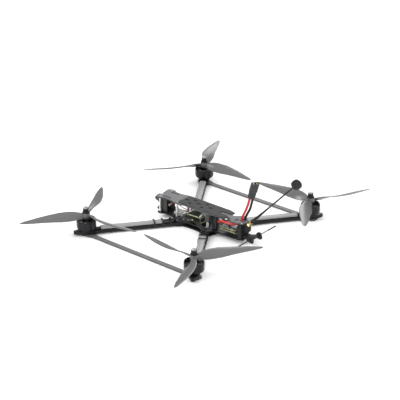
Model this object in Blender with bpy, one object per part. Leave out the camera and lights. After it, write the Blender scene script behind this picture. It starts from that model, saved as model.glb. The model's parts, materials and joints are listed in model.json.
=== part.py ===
"""Long-range FPV quadcopter: an X frame of carbon plates and arms, four outrunner motors
with 10 inch three-blade propellers, an electronics stack, a tilting camera, and the
antennas and the battery lead at its tail.

Metres, +Z up, +Y is the flight direction. The origin is the middle of the belly plate's
underside, straight below the point where the four arms would meet.
"""

import math

import bmesh
import bpy
from mathutils import Matrix, Vector
from mathutils.geometry import tessellate_polygon

MM = 0.001
GAP = 0.3 * MM  # air left between pieces that rest on each other

# Driving dimensions
MOTOR_X = 166.8 * MM  # half the left to right motor spacing
MOTOR_Y = 136.0 * MM  # half the front to rear motor spacing
PROP_RADIUS = 127.0 * MM  # 10 inch propeller
PROP_PITCH = 127.0 * MM  # 5 inches travelled each turn
BELLY_THICK = 2.3 * MM
ARM_THICK = 5.8 * MM
ARM_WIDTH = 15.0 * MM
ARM_ROOT_Y = 17.5 * MM  # where the middle line of each arm crosses the middle of the body
MIDDLE_THICK = 2.3 * MM
STANDOFF_LENGTH = 29.4 * MM
STANDOFF_RADIUS = 2.5 * MM
TOP_THICK = 2.7 * MM
PAD_THICK = 2.0 * MM

# Heights of the stack, each level resting on the one below
ARM_Z = BELLY_THICK + GAP
ARM_TOP = ARM_Z + ARM_THICK
MIDDLE_Z = ARM_TOP + GAP
MIDDLE_TOP = MIDDLE_Z + MIDDLE_THICK
STANDOFF_Z = MIDDLE_TOP + GAP
STANDOFF_TOP = STANDOFF_Z + STANDOFF_LENGTH
TOP_Z = STANDOFF_TOP + GAP
TOP_TOP = TOP_Z + TOP_THICK
PAD_Z = TOP_TOP + GAP

# Motor and propeller stations, all on the motor's own axis
MOTOR_Z = ARM_TOP + GAP
BELL_BOTTOM = 14.2 * MM
BELL_TOP = 34.0 * MM
BELL_RADIUS = 18.75 * MM
SHAFT_RADIUS = 2.5 * MM
SHAFT_TOP = 56.4 * MM
BORE_RADIUS = SHAFT_RADIUS + GAP
HUB_Z = BELL_TOP + GAP
HUB_TOP = 44.4 * MM
HUB_RADIUS = 7.5 * MM
NUT_Z = HUB_TOP + GAP
BLADE_ROOT_Z = 39.5 * MM
BLADE_TIP_Z = 42.0 * MM

# Camera
CAMERA_PIVOT = Vector((0, 86.0 * MM, 26.0 * MM))
CAMERA_SIZE = 19.0 * MM
CAMERA_PLATE_THICK = 2.0 * MM

# Each motor: place, the angle of its first blade, and which way it turns from above
MOTORS = {
    "front_left": (-1, 1, 149.8, -1),
    "rear_left": (-1, -1, 89.4, 1),
    "front_right": (1, 1, 29.7, 1),
    "rear_right": (1, -1, 210.6, -1),
}


# ---------------------------------------------------------------- materials and helpers


def material(name, colour, roughness, metallic=0.0):
    made = bpy.data.materials.new(name)
    made.use_nodes = True
    shader = made.node_tree.nodes["Principled BSDF"]
    shader.inputs["Base Color"].default_value = (*colour, 1)
    shader.inputs["Roughness"].default_value = roughness
    shader.inputs["Metallic"].default_value = metallic
    return made


def add_object(name, bm, surface, location=(0, 0, 0), smooth=True, parent=None):
    """Turns a bmesh into a named object, with normals out and hard edges kept sharp."""
    bmesh.ops.remove_doubles(bm, verts=bm.verts, dist=1e-6)
    bmesh.ops.recalc_face_normals(bm, faces=bm.faces)
    mesh = bpy.data.meshes.new(name)
    bm.to_mesh(mesh)
    bm.free()
    if smooth:
        mesh.shade_smooth()
        mesh.set_sharp_from_angle(angle=math.radians(35))
    obj = bpy.data.objects.new(name, mesh)
    obj.location = location
    obj.parent = parent
    obj.data.materials.append(surface)
    bpy.context.scene.collection.objects.link(obj)
    return obj


def helper(obj):
    """Marks an object that only shapes another one."""
    obj.hide_render = True
    obj.display_type = "WIRE"
    return obj


def combine(obj, other, operation):
    cut = obj.modifiers.new(operation.lower(), "BOOLEAN")
    cut.operation = operation
    cut.solver = "EXACT"
    cut.object = helper(other)


def circle(centre_x, centre_y, radius, steps=12):
    turns = [2 * math.pi * i / steps for i in range(steps)]
    return [(centre_x + radius * math.cos(a), centre_y + radius * math.sin(a)) for a in turns]


def mirrored(half):
    """A closed outline from its right half, which runs from front to back."""
    return half + [(-x, y) for x, y in reversed(half) if x > 0]


def in_mm(points):
    return [(x * MM, y * MM) for x, y in points]


def plate_mesh(outline, holes, low, high):
    """An outline with holes, made into a plate between two heights."""
    loops = [list(outline)] + [list(hole) for hole in holes]
    bm = bmesh.new()
    flat = [Vector((x, y, 0)) for loop in loops for x, y in loop]
    bottom = [bm.verts.new((p.x, p.y, low)) for p in flat]
    top = [bm.verts.new((p.x, p.y, high)) for p in flat]
    layers = [[Vector((x, y, 0)) for x, y in loop] for loop in loops]
    for a, b, c in tessellate_polygon(layers):
        bm.faces.new((top[a], top[b], top[c]))
        bm.faces.new((bottom[c], bottom[b], bottom[a]))
    start = 0
    for loop in loops:
        for i in range(len(loop)):
            a = start + i
            b = start + (i + 1) % len(loop)
            bm.faces.new((bottom[a], bottom[b], top[b], top[a]))
        start += len(loop)
    return bm


def plate(name, surface, outline, holes, low, high):
    return add_object(name, plate_mesh(outline, holes, low, high), surface, smooth=False)


def box_mesh(size, centre=(0, 0, 0), rounding=0.0):
    bm = bmesh.new()
    bmesh.ops.create_cube(bm, size=1)
    bmesh.ops.scale(bm, vec=size, verts=bm.verts)
    if rounding:
        bmesh.ops.bevel(bm, geom=list(bm.edges), offset=rounding, segments=1, affect="EDGES")
    bmesh.ops.translate(bm, vec=centre, verts=bm.verts)
    return bm


def turned_mesh(profile, steps):
    """A profile of (radius, height) points turned about Z. It closes on the axis or on itself."""
    bm = bmesh.new()
    ring = [bm.verts.new((radius, 0, height)) for radius, height in profile]
    edges = [bm.edges.new(pair) for pair in zip(ring, ring[1:])]
    if profile[0][0] > 0:
        edges.append(bm.edges.new((ring[-1], ring[0])))
    bmesh.ops.spin(
        bm,
        geom=ring + edges,
        cent=(0, 0, 0),
        axis=(0, 0, 1),
        angle=2 * math.pi,
        steps=steps,
        use_merge=True,
    )
    bmesh.ops.remove_doubles(bm, verts=bm.verts, dist=1e-6)
    return bm


def aim(obj, start, end):
    """Stands an object that was made along +Z at start, pointing to end."""
    way = Vector(end) - Vector(start)
    obj.location = start
    obj.rotation_euler = way.to_track_quat("Z", "Y").to_euler()


def smooth_route(points, spacing):
    """Evenly spaced points on a Catmull-Rom curve through the route's own points."""
    ends = [2 * points[0] - points[1]] + points + [2 * points[-1] - points[-2]]
    fine = []
    for before, a, b, after in zip(ends, ends[1:], ends[2:], ends[3:]):
        for i in range(24):
            t = i / 24
            fine.append(
                0.5
                * (
                    2 * a
                    + (b - before) * t
                    + (2 * before - 5 * a + 4 * b - after) * t**2
                    + (3 * a - before - 3 * b + after) * t**3
                )
            )
    fine.append(points[-1])
    length = sum((q - p).length for p, q in zip(fine, fine[1:]))
    count = max(3, round(length / spacing))
    even = [fine[0]]
    walked = 0.0
    for p, q in zip(fine, fine[1:]):
        step = (q - p).length
        while len(even) < count and walked + step >= length * len(even) / count:
            even.append(p.lerp(q, (length * len(even) / count - walked) / step))
        walked += step
    return even + [fine[-1]]


def lead(name, surface, route, radius, spacing):
    """A round lead along a route in millimetres."""
    points = smooth_route([Vector(p) * MM for p in route], spacing)
    curve = bpy.data.curves.new(name, "CURVE")
    curve.dimensions = "3D"
    curve.bevel_depth = radius
    curve.bevel_resolution = 2
    curve.use_fill_caps = True
    spline = curve.splines.new("POLY")
    spline.points.add(len(points) - 1)
    for place, point in zip(spline.points, points):
        place.co = (*point, 1)
    obj = bpy.data.objects.new(name, curve)
    obj.data.materials.append(surface)
    bpy.context.scene.collection.objects.link(obj)
    return obj


# ---------------------------------------------------------------- frame

STANDOFF_PLACES = {
    "nose": (16.2, 86.5),
    "front": (16.0, 43.0),
    "middle": (16.0, -34.8),
}
SCREW_RADIUS = 1.6 * MM
MOTOR_BOLT = 9.5 * MM  # from the motor axis to each of its screws
ARM_BOLTS = (17.2 * MM, 30.7 * MM)  # along an arm, where screws clamp it between two plates
CROSS = [(math.cos(a), math.sin(a)) for a in (math.pi * (2 * i + 1) / 4 for i in range(4))]
STACK_HALF = 15.25 * MM  # half the spacing of the electronics stack's screws


def arm_line(side, front):
    """An arm's root, the direction that it runs in from there, and its reach to the motor."""
    root = Vector((0, front * ARM_ROOT_Y))
    run = Vector((side * MOTOR_X, front * MOTOR_Y)) - root
    return root, math.atan2(run.y, run.x), run.length


def on_arm(side, front, points):
    """Points given along and across an arm, placed on the aircraft."""
    root, angle, _ = arm_line(side, front)
    turn = Matrix.Rotation(angle, 2)
    return [tuple(root + turn @ Vector(point)) for point in points]


def standoff_holes():
    return [
        circle(side * x * MM, y * MM, SCREW_RADIUS, 8)
        for x, y in STANDOFF_PLACES.values()
        for side in (-1, 1)
    ]


def bolt_holes():
    return [
        circle(x, y, SCREW_RADIUS, 8)
        for side, front, _, _ in MOTORS.values()
        for x, y in on_arm(side, front, [(along, 0) for along in ARM_BOLTS])
    ]


def pad_openings():
    """The diamonds and triangles cut through the battery pad and the plate below it."""
    diamonds = [in_mm([(0, y + 7), (3.6, y), (0, y - 7), (-3.6, y)]) for y in (31, 2, -28)]
    triangles = [
        in_mm([(side * 4.2, y), (side * 10.8, y + 5.5), (side * 10.8, y - 5.5)][::side])
        for side in (-1, 1)
        for y in (16.8, -13)
    ]
    return diamonds + triangles


def make_plates(carbon, carbon_light):
    belly = [(11, 47), (20, 45), (28, 39), (29.5, 32), (22.5, 24), (20.5, 14), (20.5, -14)]
    belly += [(22.5, -24), (29.5, -32), (28, -39), (20, -45), (11, -47)]
    plate("belly_plate", carbon, mirrored(in_mm(belly)), bolt_holes(), 0, BELLY_THICK)

    middle = [(16, 93), (20.5, 90), (20.5, 82), (16.5, 76), (16.5, 58), (20, 49), (28, 42)]
    middle += [(30.5, 38), (30.5, 31), (22.5, 23), (20.5, 14), (20.5, -14), (22.5, -23)]
    middle += [(30.5, -31), (30.5, -38), (28, -42), (19, -48), (15, -60), (15, -96)]
    middle += [(13.5, -110), (9, -116)]
    holes = standoff_holes() + bolt_holes()
    plate("middle_plate", carbon, mirrored(in_mm(middle)), holes, MIDDLE_Z, MIDDLE_TOP)

    top = [(6.5, 90.5), (8.5, 96), (17, 96), (21.5, 91), (21.5, 82), (17, 75), (17, 60)]
    top += [(20.5, 47), (20.5, 34), (17.5, 24), (17.5, -24), (20, -30), (20, -39), (16, -46)]
    top += [(15, -70), (6.5, -75), (6.5, -82), (16, -92), (15, -100), (11, -115), (9, -116.5)]
    cable_slot = in_mm([(-4.6, -103.0), (8.4, -103.0), (8.4, -111.4), (-4.6, -111.4)])
    nose_slots = [
        in_mm([(x - 1.1, y - 2.6), (x + 1.1, y - 2.6), (x + 1.1, y + 2.6), (x - 1.1, y + 2.6)])
        for x in (-11.3, 11.3)
        for y in (66.2, 72.8, 79.3)
    ]
    strap_slots = [
        in_mm([(x - 1.3, y - 9), (x + 1.3, y - 9), (x + 1.3, y + 9), (x - 1.3, y + 9)])
        for x in (-13.6, 13.6)
        for y in (6, -62)
    ]
    holes = standoff_holes() + [cable_slot] + nose_slots + strap_slots + pad_openings()
    plate("top_plate", carbon_light, mirrored(in_mm(top)), holes, TOP_Z, TOP_TOP)


def make_battery_pad(rubber):
    """The grippy pad that the battery is strapped onto, with its diamond cut-outs."""
    outline = [(9, 39), (13, 41), (16.8, 38), (17.2, 30), (17.2, -64), (13.5, -77)]
    outline += [(7.5, -77), (5, -72), (5, -56), (2.5, -52)]
    pad = plate_mesh(mirrored(in_mm(outline)), pad_openings(), PAD_Z, PAD_Z + PAD_THICK)
    add_object("battery_pad", pad, rubber, smooth=False)


def make_arm(name, carbon):
    side, front, _, _ = MOTORS[name]
    motor = arm_line(side, front)[2]
    half = ARM_WIDTH / 2
    root, shoulder = 6.5 * MM, 4.0 * MM  # the cut-back corners of its inner end
    mount = 10.0 * MM  # half the width of the pad under the motor
    outline = [(root, half - shoulder), (root + shoulder, half), (motor - 24 * MM, half)]
    outline += [(motor - 16 * MM, mount), (motor + 6 * MM, mount), (motor + 14 * MM, half)]
    outline += [(motor + 24.5 * MM, 2.5 * MM)]
    outline += [(x, -y) for x, y in reversed(outline)]
    holes = [circle(x, 0, SCREW_RADIUS, 8) for x in ARM_BOLTS]
    holes.append(circle(motor, 0, 4.0 * MM, 12))
    holes += [circle(motor + MOTOR_BOLT * c, MOTOR_BOLT * s, SCREW_RADIUS, 8) for c, s in CROSS]
    outline = on_arm(side, front, outline)
    holes = [on_arm(side, front, hole) for hole in holes]
    plate("arm_" + name, carbon, outline, holes, ARM_Z, ARM_TOP)


def make_brace(side_name, side, carbon):
    """The strut that ties the front arm's motor mount to the rear one."""
    end = MOTOR_Y / MM
    half = [(5, end + 14), (8.5, end + 10), (10.5, end), (8.5, end - 12)]
    half += [(5.2, end - 22)]
    half += [(x, -y) for x, y in reversed(half)]
    outline = [(x + side * MOTOR_X, y) for x, y in mirrored(in_mm(half))]
    holes = [
        circle(side * MOTOR_X + MOTOR_BOLT * c, front * MOTOR_Y + MOTOR_BOLT * s, SCREW_RADIUS, 8)
        for front in (-1, 1)
        for c, s in turned_cross(side, front)
        if abs(c) < abs(s)
    ]
    plate("side_brace_" + side_name, carbon, outline, holes, 0, BELLY_THICK)


def turned_cross(side, front):
    """The motor's four screw directions, which are square to its arm."""
    turn = Matrix.Rotation(arm_line(side, front)[1], 2)
    return [tuple(turn @ Vector(way)) for way in CROSS]


def make_standoffs(aluminium):
    bore = 1.3 * MM
    profile = [(bore, STANDOFF_Z), (bore, STANDOFF_TOP)]
    profile += [(STANDOFF_RADIUS, STANDOFF_TOP), (STANDOFF_RADIUS, STANDOFF_Z)]
    for place, (x, y) in STANDOFF_PLACES.items():
        for side_name, side in (("left", -1), ("right", 1)):
            bm = turned_mesh(profile, 12)
            name = "standoff_" + place + "_" + side_name
            add_object(name, bm, aluminium, (side * x * MM, y * MM, 0))


# ---------------------------------------------------------------- motors and propellers


def make_motor_base(name, black, axis):
    """The mounting foot and the wound stator, with a bore that the shaft runs in."""
    foot = MOTOR_Z
    profile = [(BORE_RADIUS, foot), (13.5 * MM, foot), (15.0 * MM, foot + 1.5 * MM)]
    profile += [(15.0 * MM, foot + 3.2 * MM), (12.0 * MM, foot + 5.0 * MM), (8.0 * MM, foot + 5.4 * MM)]
    profile += [(8.0 * MM, foot + 7.5 * MM), (15.6 * MM, foot + 8.0 * MM), (15.6 * MM, foot + 20 * MM)]
    profile += [(BORE_RADIUS, foot + 20 * MM)]
    add_object("motor_base_" + name, turned_mesh(profile, 20), black, axis)


def make_motor_bell(name, metal, hub):
    """The turning can with its cooling windows, and the threaded shaft through it."""
    wall = 1.6 * MM
    ceiling = BELL_TOP - 2.4 * MM
    profile = [(0, SHAFT_TOP), (2.1 * MM, SHAFT_TOP), (SHAFT_RADIUS, SHAFT_TOP - 0.4 * MM)]
    profile += [(SHAFT_RADIUS, BELL_TOP), (13.0 * MM, BELL_TOP)]
    profile += [(BELL_RADIUS - 1.2 * MM, BELL_TOP - 1.4 * MM)]
    profile += [(BELL_RADIUS, BELL_TOP - 3.2 * MM), (BELL_RADIUS, BELL_BOTTOM + 1.5 * MM)]
    profile += [(BELL_RADIUS - 1.0 * MM, BELL_BOTTOM), (BELL_RADIUS - wall, BELL_BOTTOM)]
    profile += [(BELL_RADIUS - wall, ceiling - 2 * MM), (BELL_RADIUS - 4 * MM, ceiling)]
    profile += [(4.5 * MM, ceiling), (SHAFT_RADIUS, ceiling - 1.5 * MM), (SHAFT_RADIUS, MOTOR_Z + 1 * MM)]
    profile += [(0, MOTOR_Z + 1 * MM)]
    bell = add_object("motor_bell_" + name, turned_mesh(profile, 24), metal, parent=hub)

    windows = bmesh.new()
    for i in range(6):
        middle = math.pi * (2 * i + 1) / 6
        edge = math.radians(19)
        corners = [
            (r * MM * math.cos(middle + a), r * MM * math.sin(middle + a))
            for r, a in ((8.6, -edge), (13.8, -edge * 0.85), (13.8, edge * 0.85), (8.6, edge))
        ]
        low = [windows.verts.new((x, y, ceiling - 1 * MM)) for x, y in corners]
        high = [windows.verts.new((x, y, BELL_TOP + 1 * MM)) for x, y in corners]
        windows.faces.new(low)
        windows.faces.new(high)
        for j in range(4):
            k = (j + 1) % 4
            windows.faces.new((low[j], low[k], high[k], high[j]))
    cutter = add_object("bell_windows_" + name, windows, metal, smooth=False, parent=hub)
    combine(bell, cutter, "DIFFERENCE")


def blade_section(reach, spin):
    """Six points of the blade's section at a distance from the axis: leading edge first."""
    share = (reach - 6 * MM) / (PROP_RADIUS - 6 * MM)
    chord = blade_chord(share)
    thick = (2.4 - 1.5 * share) * MM
    twist = min(math.radians(42), math.atan2(PROP_PITCH, 2 * math.pi * reach))
    height = BLADE_ROOT_Z + (BLADE_TIP_Z - BLADE_ROOT_Z) * share
    sweep = (2.5 * math.sin(math.pi * min(1, share * 1.25)) - 5.0 * share**4) * MM
    shape = [(0.5, 0.0), (0.28, 0.62), (-0.1, 0.55), (-0.5, 0.08), (-0.5, -0.08), (0.2, -0.3)]
    points = []
    for along, up in shape:
        forward = along * chord
        lift = up * thick
        across = sweep + forward * math.cos(twist) - lift * math.sin(twist)
        z = height + forward * math.sin(twist) + lift * math.cos(twist)
        points.append(Vector((reach, spin * across, z)))
    return points


def blade_chord(share):
    """Chord along the blade: a narrow root, widest a third of the way out, a pointed tip."""
    root, widest = 11.0 * MM, 25.0 * MM
    if share < 0.33:
        rise = math.sin(math.pi / 2 * share / 0.33)
        return root + (widest - root) * rise
    fall = (share - 0.33) / 0.67
    return widest * math.sqrt(max(0.0, 1 - fall**2.3)) * (1 - 0.42 * fall) + 1.6 * MM


def blades_mesh(spin):
    bm = bmesh.new()
    stations = [5.6, 10, 18, 30, 45, 62, 80, 97, 111, 121, 126.6]
    for i in range(3):
        turn = Matrix.Rotation(2 * math.pi * i / 3, 3, "Z")
        rings = [
            [bm.verts.new(turn @ p) for p in blade_section(reach * MM, spin)] for reach in stations
        ]
        for ring, further in zip(rings, rings[1:]):
            for j in range(6):
                k = (j + 1) % 6
                bm.faces.new((ring[j], ring[k], further[k], further[j]))
        bm.faces.new(rings[0])
        bm.faces.new(rings[-1])
    return bm


def make_propeller(name, plastic, hub, first_blade, spin):
    profile = [(BORE_RADIUS, HUB_Z), (BORE_RADIUS, HUB_TOP), (HUB_RADIUS - 0.8 * MM, HUB_TOP)]
    profile += [(HUB_RADIUS, HUB_TOP - 0.8 * MM), (HUB_RADIUS, HUB_Z)]
    prop = add_object("propeller_" + name, turned_mesh(profile, 20), plastic, parent=hub)
    blades = add_object("blades_" + name, blades_mesh(spin), plastic, parent=hub)
    for obj in (prop, blades):
        obj.rotation_euler.z = math.radians(first_blade)
    combine(prop, blades, "UNION")


def make_prop_nut(name, black, hub):
    """A flanged hexagon lock nut, with a round collar on top."""
    across = 5.8 * MM
    bottom, flange, collar, top = NUT_Z, NUT_Z + 1.6 * MM, NUT_Z + 8.6 * MM, NUT_Z + 10.8 * MM
    levels = [(bottom, 7.4 * MM), (flange, 7.0 * MM), (flange, across), (collar, across)]
    levels += [(collar + 0.6 * MM, 4.5 * MM), (top, 4.1 * MM)]
    bm = bmesh.new()
    inner = [(bottom, BORE_RADIUS), (top, BORE_RADIUS)]
    rings = []
    for z, radius in levels + inner[::-1]:
        rings.append([bm.verts.new((x, y, z)) for x, y in circle(0, 0, radius, 6 * 2)])
    for ring, upper in zip(rings, rings[1:] + rings[:1]):
        for j in range(12):
            k = (j + 1) % 12
            bm.faces.new((ring[j], ring[k], upper[k], upper[j]))
    hexagon = math.cos(math.pi / 6)
    for ring in rings[2:4]:
        for vert in ring[1::2]:
            vert.co.x *= hexagon
            vert.co.y *= hexagon
    add_object("prop_nut_" + name, bm, black, parent=hub)


def make_motor(name, surfaces):
    side, front, first_blade, spin = MOTORS[name]
    axis = Vector((side * MOTOR_X, front * MOTOR_Y, 0))
    hub = bpy.data.objects.new("motor_axis_" + name, None)
    hub.location = axis
    bpy.context.scene.collection.objects.link(hub)
    make_motor_base(name, surfaces["stator"], axis)
    make_motor_bell(name, surfaces["bell"], hub)
    make_propeller(name, surfaces["prop"], hub, first_blade, spin)
    make_prop_nut(name, surfaces["black_metal"], hub)


def make_motor_wires(name, sleeve):
    """The three motor wires in their flat sleeve, lying along the top of the arm."""
    side, front, _, _ = MOTORS[name]
    root, angle, reach = arm_line(side, front)
    start, end = 39.0 * MM, reach - 27.0 * MM
    width, height = 13.0 * MM, 5.4 * MM
    size = (end - start, width, height)
    centre = ((start + end) / 2, 0, ARM_TOP + GAP + height / 2)
    obj = add_object("motor_wires_" + name, box_mesh(size, centre, 1.6 * MM), sleeve, smooth=False)
    obj.location = (*root, 0)
    obj.rotation_euler.z = angle


# ---------------------------------------------------------------- camera


def make_camera(surfaces):
    """The camera turns up and down between two side plates, on its two side screws."""
    middle_y, middle_z = CAMERA_PIVOT.y, CAMERA_PIVOT.z
    inner = CAMERA_SIZE / 2 + GAP
    for side_name, side in (("left", -1), ("right", 1)):
        outline = [(middle_y - 13 * MM, STANDOFF_Z), (middle_y + 6 * MM, STANDOFF_Z)]
        outline += [(middle_y + 8 * MM, middle_z - 6 * MM), (middle_y + 8 * MM, middle_z + 6 * MM)]
        outline += [(middle_y + 6 * MM, STANDOFF_TOP), (middle_y - 13 * MM, STANDOFF_TOP)]
        hole = circle(middle_y, middle_z, 1.3 * MM, 8)
        near, far = sorted((side * inner, side * (inner + CAMERA_PLATE_THICK)))
        bm = side_plate_mesh(outline, [hole], near, far)
        add_object("camera_plate_" + side_name, bm, surfaces["carbon"], smooth=False)

    size = (CAMERA_SIZE, CAMERA_SIZE - 1 * MM, CAMERA_SIZE)
    body = add_object("camera_body", box_mesh(size, (0, 0, 0), 1.2 * MM), surfaces["shell"], CAMERA_PIVOT)
    nose = CAMERA_SIZE / 2 - 0.5 * MM + GAP
    profile = [(0, nose), (6.0 * MM, nose), (6.2 * MM, nose + 5.0 * MM), (5.4 * MM, nose + 9.0 * MM)]
    profile += [(4.6 * MM, nose + 9.0 * MM), (3.6 * MM, nose + 8.0 * MM), (0, nose + 8.6 * MM)]
    bm = turned_mesh(profile, 20)
    bmesh.ops.rotate(bm, matrix=Matrix.Rotation(math.radians(-90), 3, "X"), verts=bm.verts)
    lens = add_object("camera_lens", bm, surfaces["lens"])
    lens.parent = body


# ---------------------------------------------------------------- electronics


def make_board(name, surface, size_x, size_y, centre_y, z, holes):
    thick = 1.6 * MM
    cut = 1.8 * MM
    x, y = size_x / 2, size_y / 2
    outline = [(x - cut, y), (x, y - cut), (x, cut - y), (x - cut, -y)]
    outline += [(-px, -py) for px, py in outline]
    outline = [(px, py + centre_y) for px, py in outline]
    return plate(name, surface, outline, holes, z, z + thick)


def make_electronics(surfaces):
    """The controller and the speed controller on four screws, and the boxes fore and aft."""
    clearance = 1.8 * MM
    posts = [(sx * STACK_HALF, sy * STACK_HALF) for sx in (-1, 1) for sy in (-1, 1)]
    holes = [circle(x, y, clearance, 8) for x, y in posts]
    make_board("esc_board", surfaces["board"], 37 * MM, 41 * MM, 0, 17.5 * MM, holes)
    make_board("flight_controller", surfaces["board"], 36 * MM, 36 * MM, 0, 26.4 * MM, holes)
    profile = [(0, STANDOFF_Z), (1.4 * MM, STANDOFF_Z), (1.4 * MM, 30.5 * MM), (0, 30.5 * MM)]
    for i, (x, y) in enumerate(posts):
        bm = turned_mesh(profile, 8)
        add_object("stack_screw_" + "abcd"[i], bm, surfaces["black_metal"], (x, y, 0))

    bm = box_mesh((27 * MM, 38 * MM, 9.5 * MM), (0, -81.5 * MM, 23.5 * MM), 0.8 * MM)
    add_object("video_transmitter", bm, surfaces["board"], smooth=False)
    bm = box_mesh((17 * MM, 22 * MM, 6.4 * MM), (-3 * MM, 46 * MM, 14.8 * MM), 0.8 * MM)
    add_object("receiver", bm, surfaces["wrap"], smooth=False)
    profile = [(0, 0), (5.4 * MM, 0), (6.0 * MM, 0.8 * MM), (6.0 * MM, 24 * MM)]
    profile += [(5.2 * MM, 25 * MM), (0, 25 * MM)]
    bm = turned_mesh(profile, 16)
    add_object("capacitor", bm, surfaces["shell"], (-7 * MM, -45.5 * MM, STANDOFF_Z + 1 * MM))


# ---------------------------------------------------------------- tail

SMA_START = Vector((0.0, -119.5, 37.9)) * MM
ANTENNA_START = Vector((0.0, -128.2, 46.7)) * MM
ANTENNA_END = Vector((0.0, -234.6, 154.6)) * MM
RECEIVER_ENDS = (Vector((-55.0, -134.6, 14.9)) * MM, Vector((55.0, -141.4, 24.3)) * MM)

LEAD_RADIUS = 2.3 * MM
LEAD_EXIT_Z = 44.4
RED_ROUTE = [(-1.8, -106.4, LEAD_EXIT_Z), (-2.0, -107.6, 50.0), (-3.0, -112.4, 60.0)]
RED_ROUTE += [(-3.5, -117.9, 70.5), (-3.4, -123.0, 84.0), (-3.0, -126.0, 95.6)]
BLACK_ROUTE = [(5.4, -108.4, LEAD_EXIT_Z), (5.2, -109.8, 50.0), (4.2, -115.4, 60.0)]
BLACK_ROUTE += [(3.2, -121.6, 70.5), (2.9, -125.8, 84.0), (3.0, -128.6, 94.7)]
RED_INNER = [(-12.5, -58.0, 30.4), (-16.2, -66.0, 36.6), (-16.6, -80.0, 37.8), (-15.6, -92.0, 37.8)]
RED_INNER += [(-9.5, -97.6, 37.2), (-2.8, -101.6, 37.0), (-1.6, -105.2, 39.2), (-1.8, -106.0, 42.6)]
BLACK_INNER = [(12.5, -58.0, 31.0), (13.0, -72.0, 36.6), (11.0, -88.0, 37.6), (6.4, -99.5, 37.4)]
BLACK_INNER += [(5.3, -105.2, 37.4), (5.3, -107.3, 39.8), (5.4, -108.0, 42.8)]
PLUG_START = Vector((0.0, -127.3, 96.0)) * MM
PLUG_END = Vector((0.0, -137.0, 127.0)) * MM
PLUG_WIDE = Vector((0.91, -0.42, 0.0))  # the way from the red lead's contact to the black one's


def make_rear_mount(rubber):
    """The printed spacer block at the tail, with a channel for the leads and a slanted seat."""
    outline = [(-4.6, -104.2), (-4.6, -110.9), (8.4, -110.9), (8.4, -104.2), (12.0, -104.2)]
    outline += [(13.2, -105.4), (13.2, -110.8), (11.2, -112.8), (-11.2, -112.8)]
    outline += [(-13.2, -110.8), (-13.2, -105.4), (-12.0, -104.2)]
    block = plate("rear_mount", rubber, in_mm(outline), [], STANDOFF_Z, STANDOFF_TOP)
    wedge = [(-111.9, 24.0), (-121.0, 24.0), (-123.2, 28.0), (-122.9, 34.0), (-116.2, 40.5)]
    wedge += [(-111.9, 40.5)]
    half = 5.2 * MM
    seat = add_object("antenna_seat", side_plate_mesh(in_mm(wedge), [], -half, half), rubber, smooth=False)
    combine(block, seat, "UNION")


def side_plate_mesh(outline, holes, left, right):
    """A plate across X: its outline is given as (y, z) points."""
    bm = plate_mesh(outline, holes, left, right)
    lying_to_across = Matrix(((0, 0, 1, 0), (1, 0, 0, 0), (0, 1, 0, 0), (0, 0, 0, 1)))
    bmesh.ops.transform(bm, matrix=lying_to_across, verts=bm.verts)
    return bm


def make_antenna_holder(tpu):
    """A printed bar behind the tail, with two upright ears that grip the receiver antenna."""
    bar = [(8.0, -113.2), (8.0, -122.0), (14.2, -128.0), (14.2, -134.5)]
    holder = plate("antenna_holder", tpu, mirrored(in_mm(bar)), [], 13.6 * MM, 17.4 * MM)
    ear = [(-129.5, 13.0), (-133.0, 12.6), (-139.5, 11.4), (-142.6, 12.6), (-143.2, 16.0)]
    ear += [(-141.6, 21.5), (-138.5, 24.6), (-134.5, 24.4), (-131.0, 20.5)]
    left, right = RECEIVER_ENDS
    for side_name, side in (("left", -1), ("right", 1)):
        middle = left.lerp(right, 0.5 + side * 12.1 / 110)
        hole = circle(middle.y, middle.z, 1.9 * MM, 8)
        inner, outer = sorted((side * 10.3 * MM, side * 13.9 * MM))
        plate_across = side_plate_mesh(in_mm(ear), [hole], inner, outer)
        piece = add_object("holder_ear_" + side_name, plate_across, tpu, smooth=False)
        combine(holder, piece, "UNION")


def make_antennas(surfaces):
    length = (ANTENNA_START - SMA_START).length - GAP
    barrel, grip = 3.1 * MM, 3.9 * MM
    profile = [(0, 0), (barrel, 0), (barrel, length * 0.45), (grip, length * 0.5), (grip, length)]
    sma = add_object("antenna_socket", turned_mesh(profile + [(0, length)], 12), surfaces["gold"])
    aim(sma, SMA_START, ANTENNA_START)

    full = (ANTENNA_END - ANTENNA_START).length
    rod, boot = 1.5 * MM, 3.2 * MM
    head = full - 11.0 * MM
    profile = [(0, 0), (boot, 0), (boot, 8 * MM), (2.9 * MM, 18 * MM), (2.2 * MM, 26 * MM)]
    profile += [(rod, 60 * MM), (rod, head - 4 * MM), (5.6 * MM, head - 2.4 * MM)]
    profile += [(6.2 * MM, head + 1 * MM), (9.3 * MM, head + 1.4 * MM), (9.6 * MM, head + 3 * MM)]
    profile += [(9.6 * MM, full - 2.4 * MM), (8.8 * MM, full - 0.6 * MM), (5.0 * MM, full), (0, full)]
    antenna = add_object("video_antenna", turned_mesh(profile, 16), surfaces["shell"])
    aim(antenna, ANTENNA_START, ANTENNA_END)

    left, right = RECEIVER_ENDS
    full = (right - left).length
    thin, thick, tip = 0.8 * MM, 1.2 * MM, 21 * MM
    profile = [(0, 0), (thick, 0), (thick, tip), (thin, tip + 1 * MM), (thin, full - tip - 1 * MM)]
    profile += [(thick, full - tip), (thick, full), (0, full)]
    element = add_object("receiver_antenna", turned_mesh(profile, 8), surfaces["shell"])
    aim(element, left, right)


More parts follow.
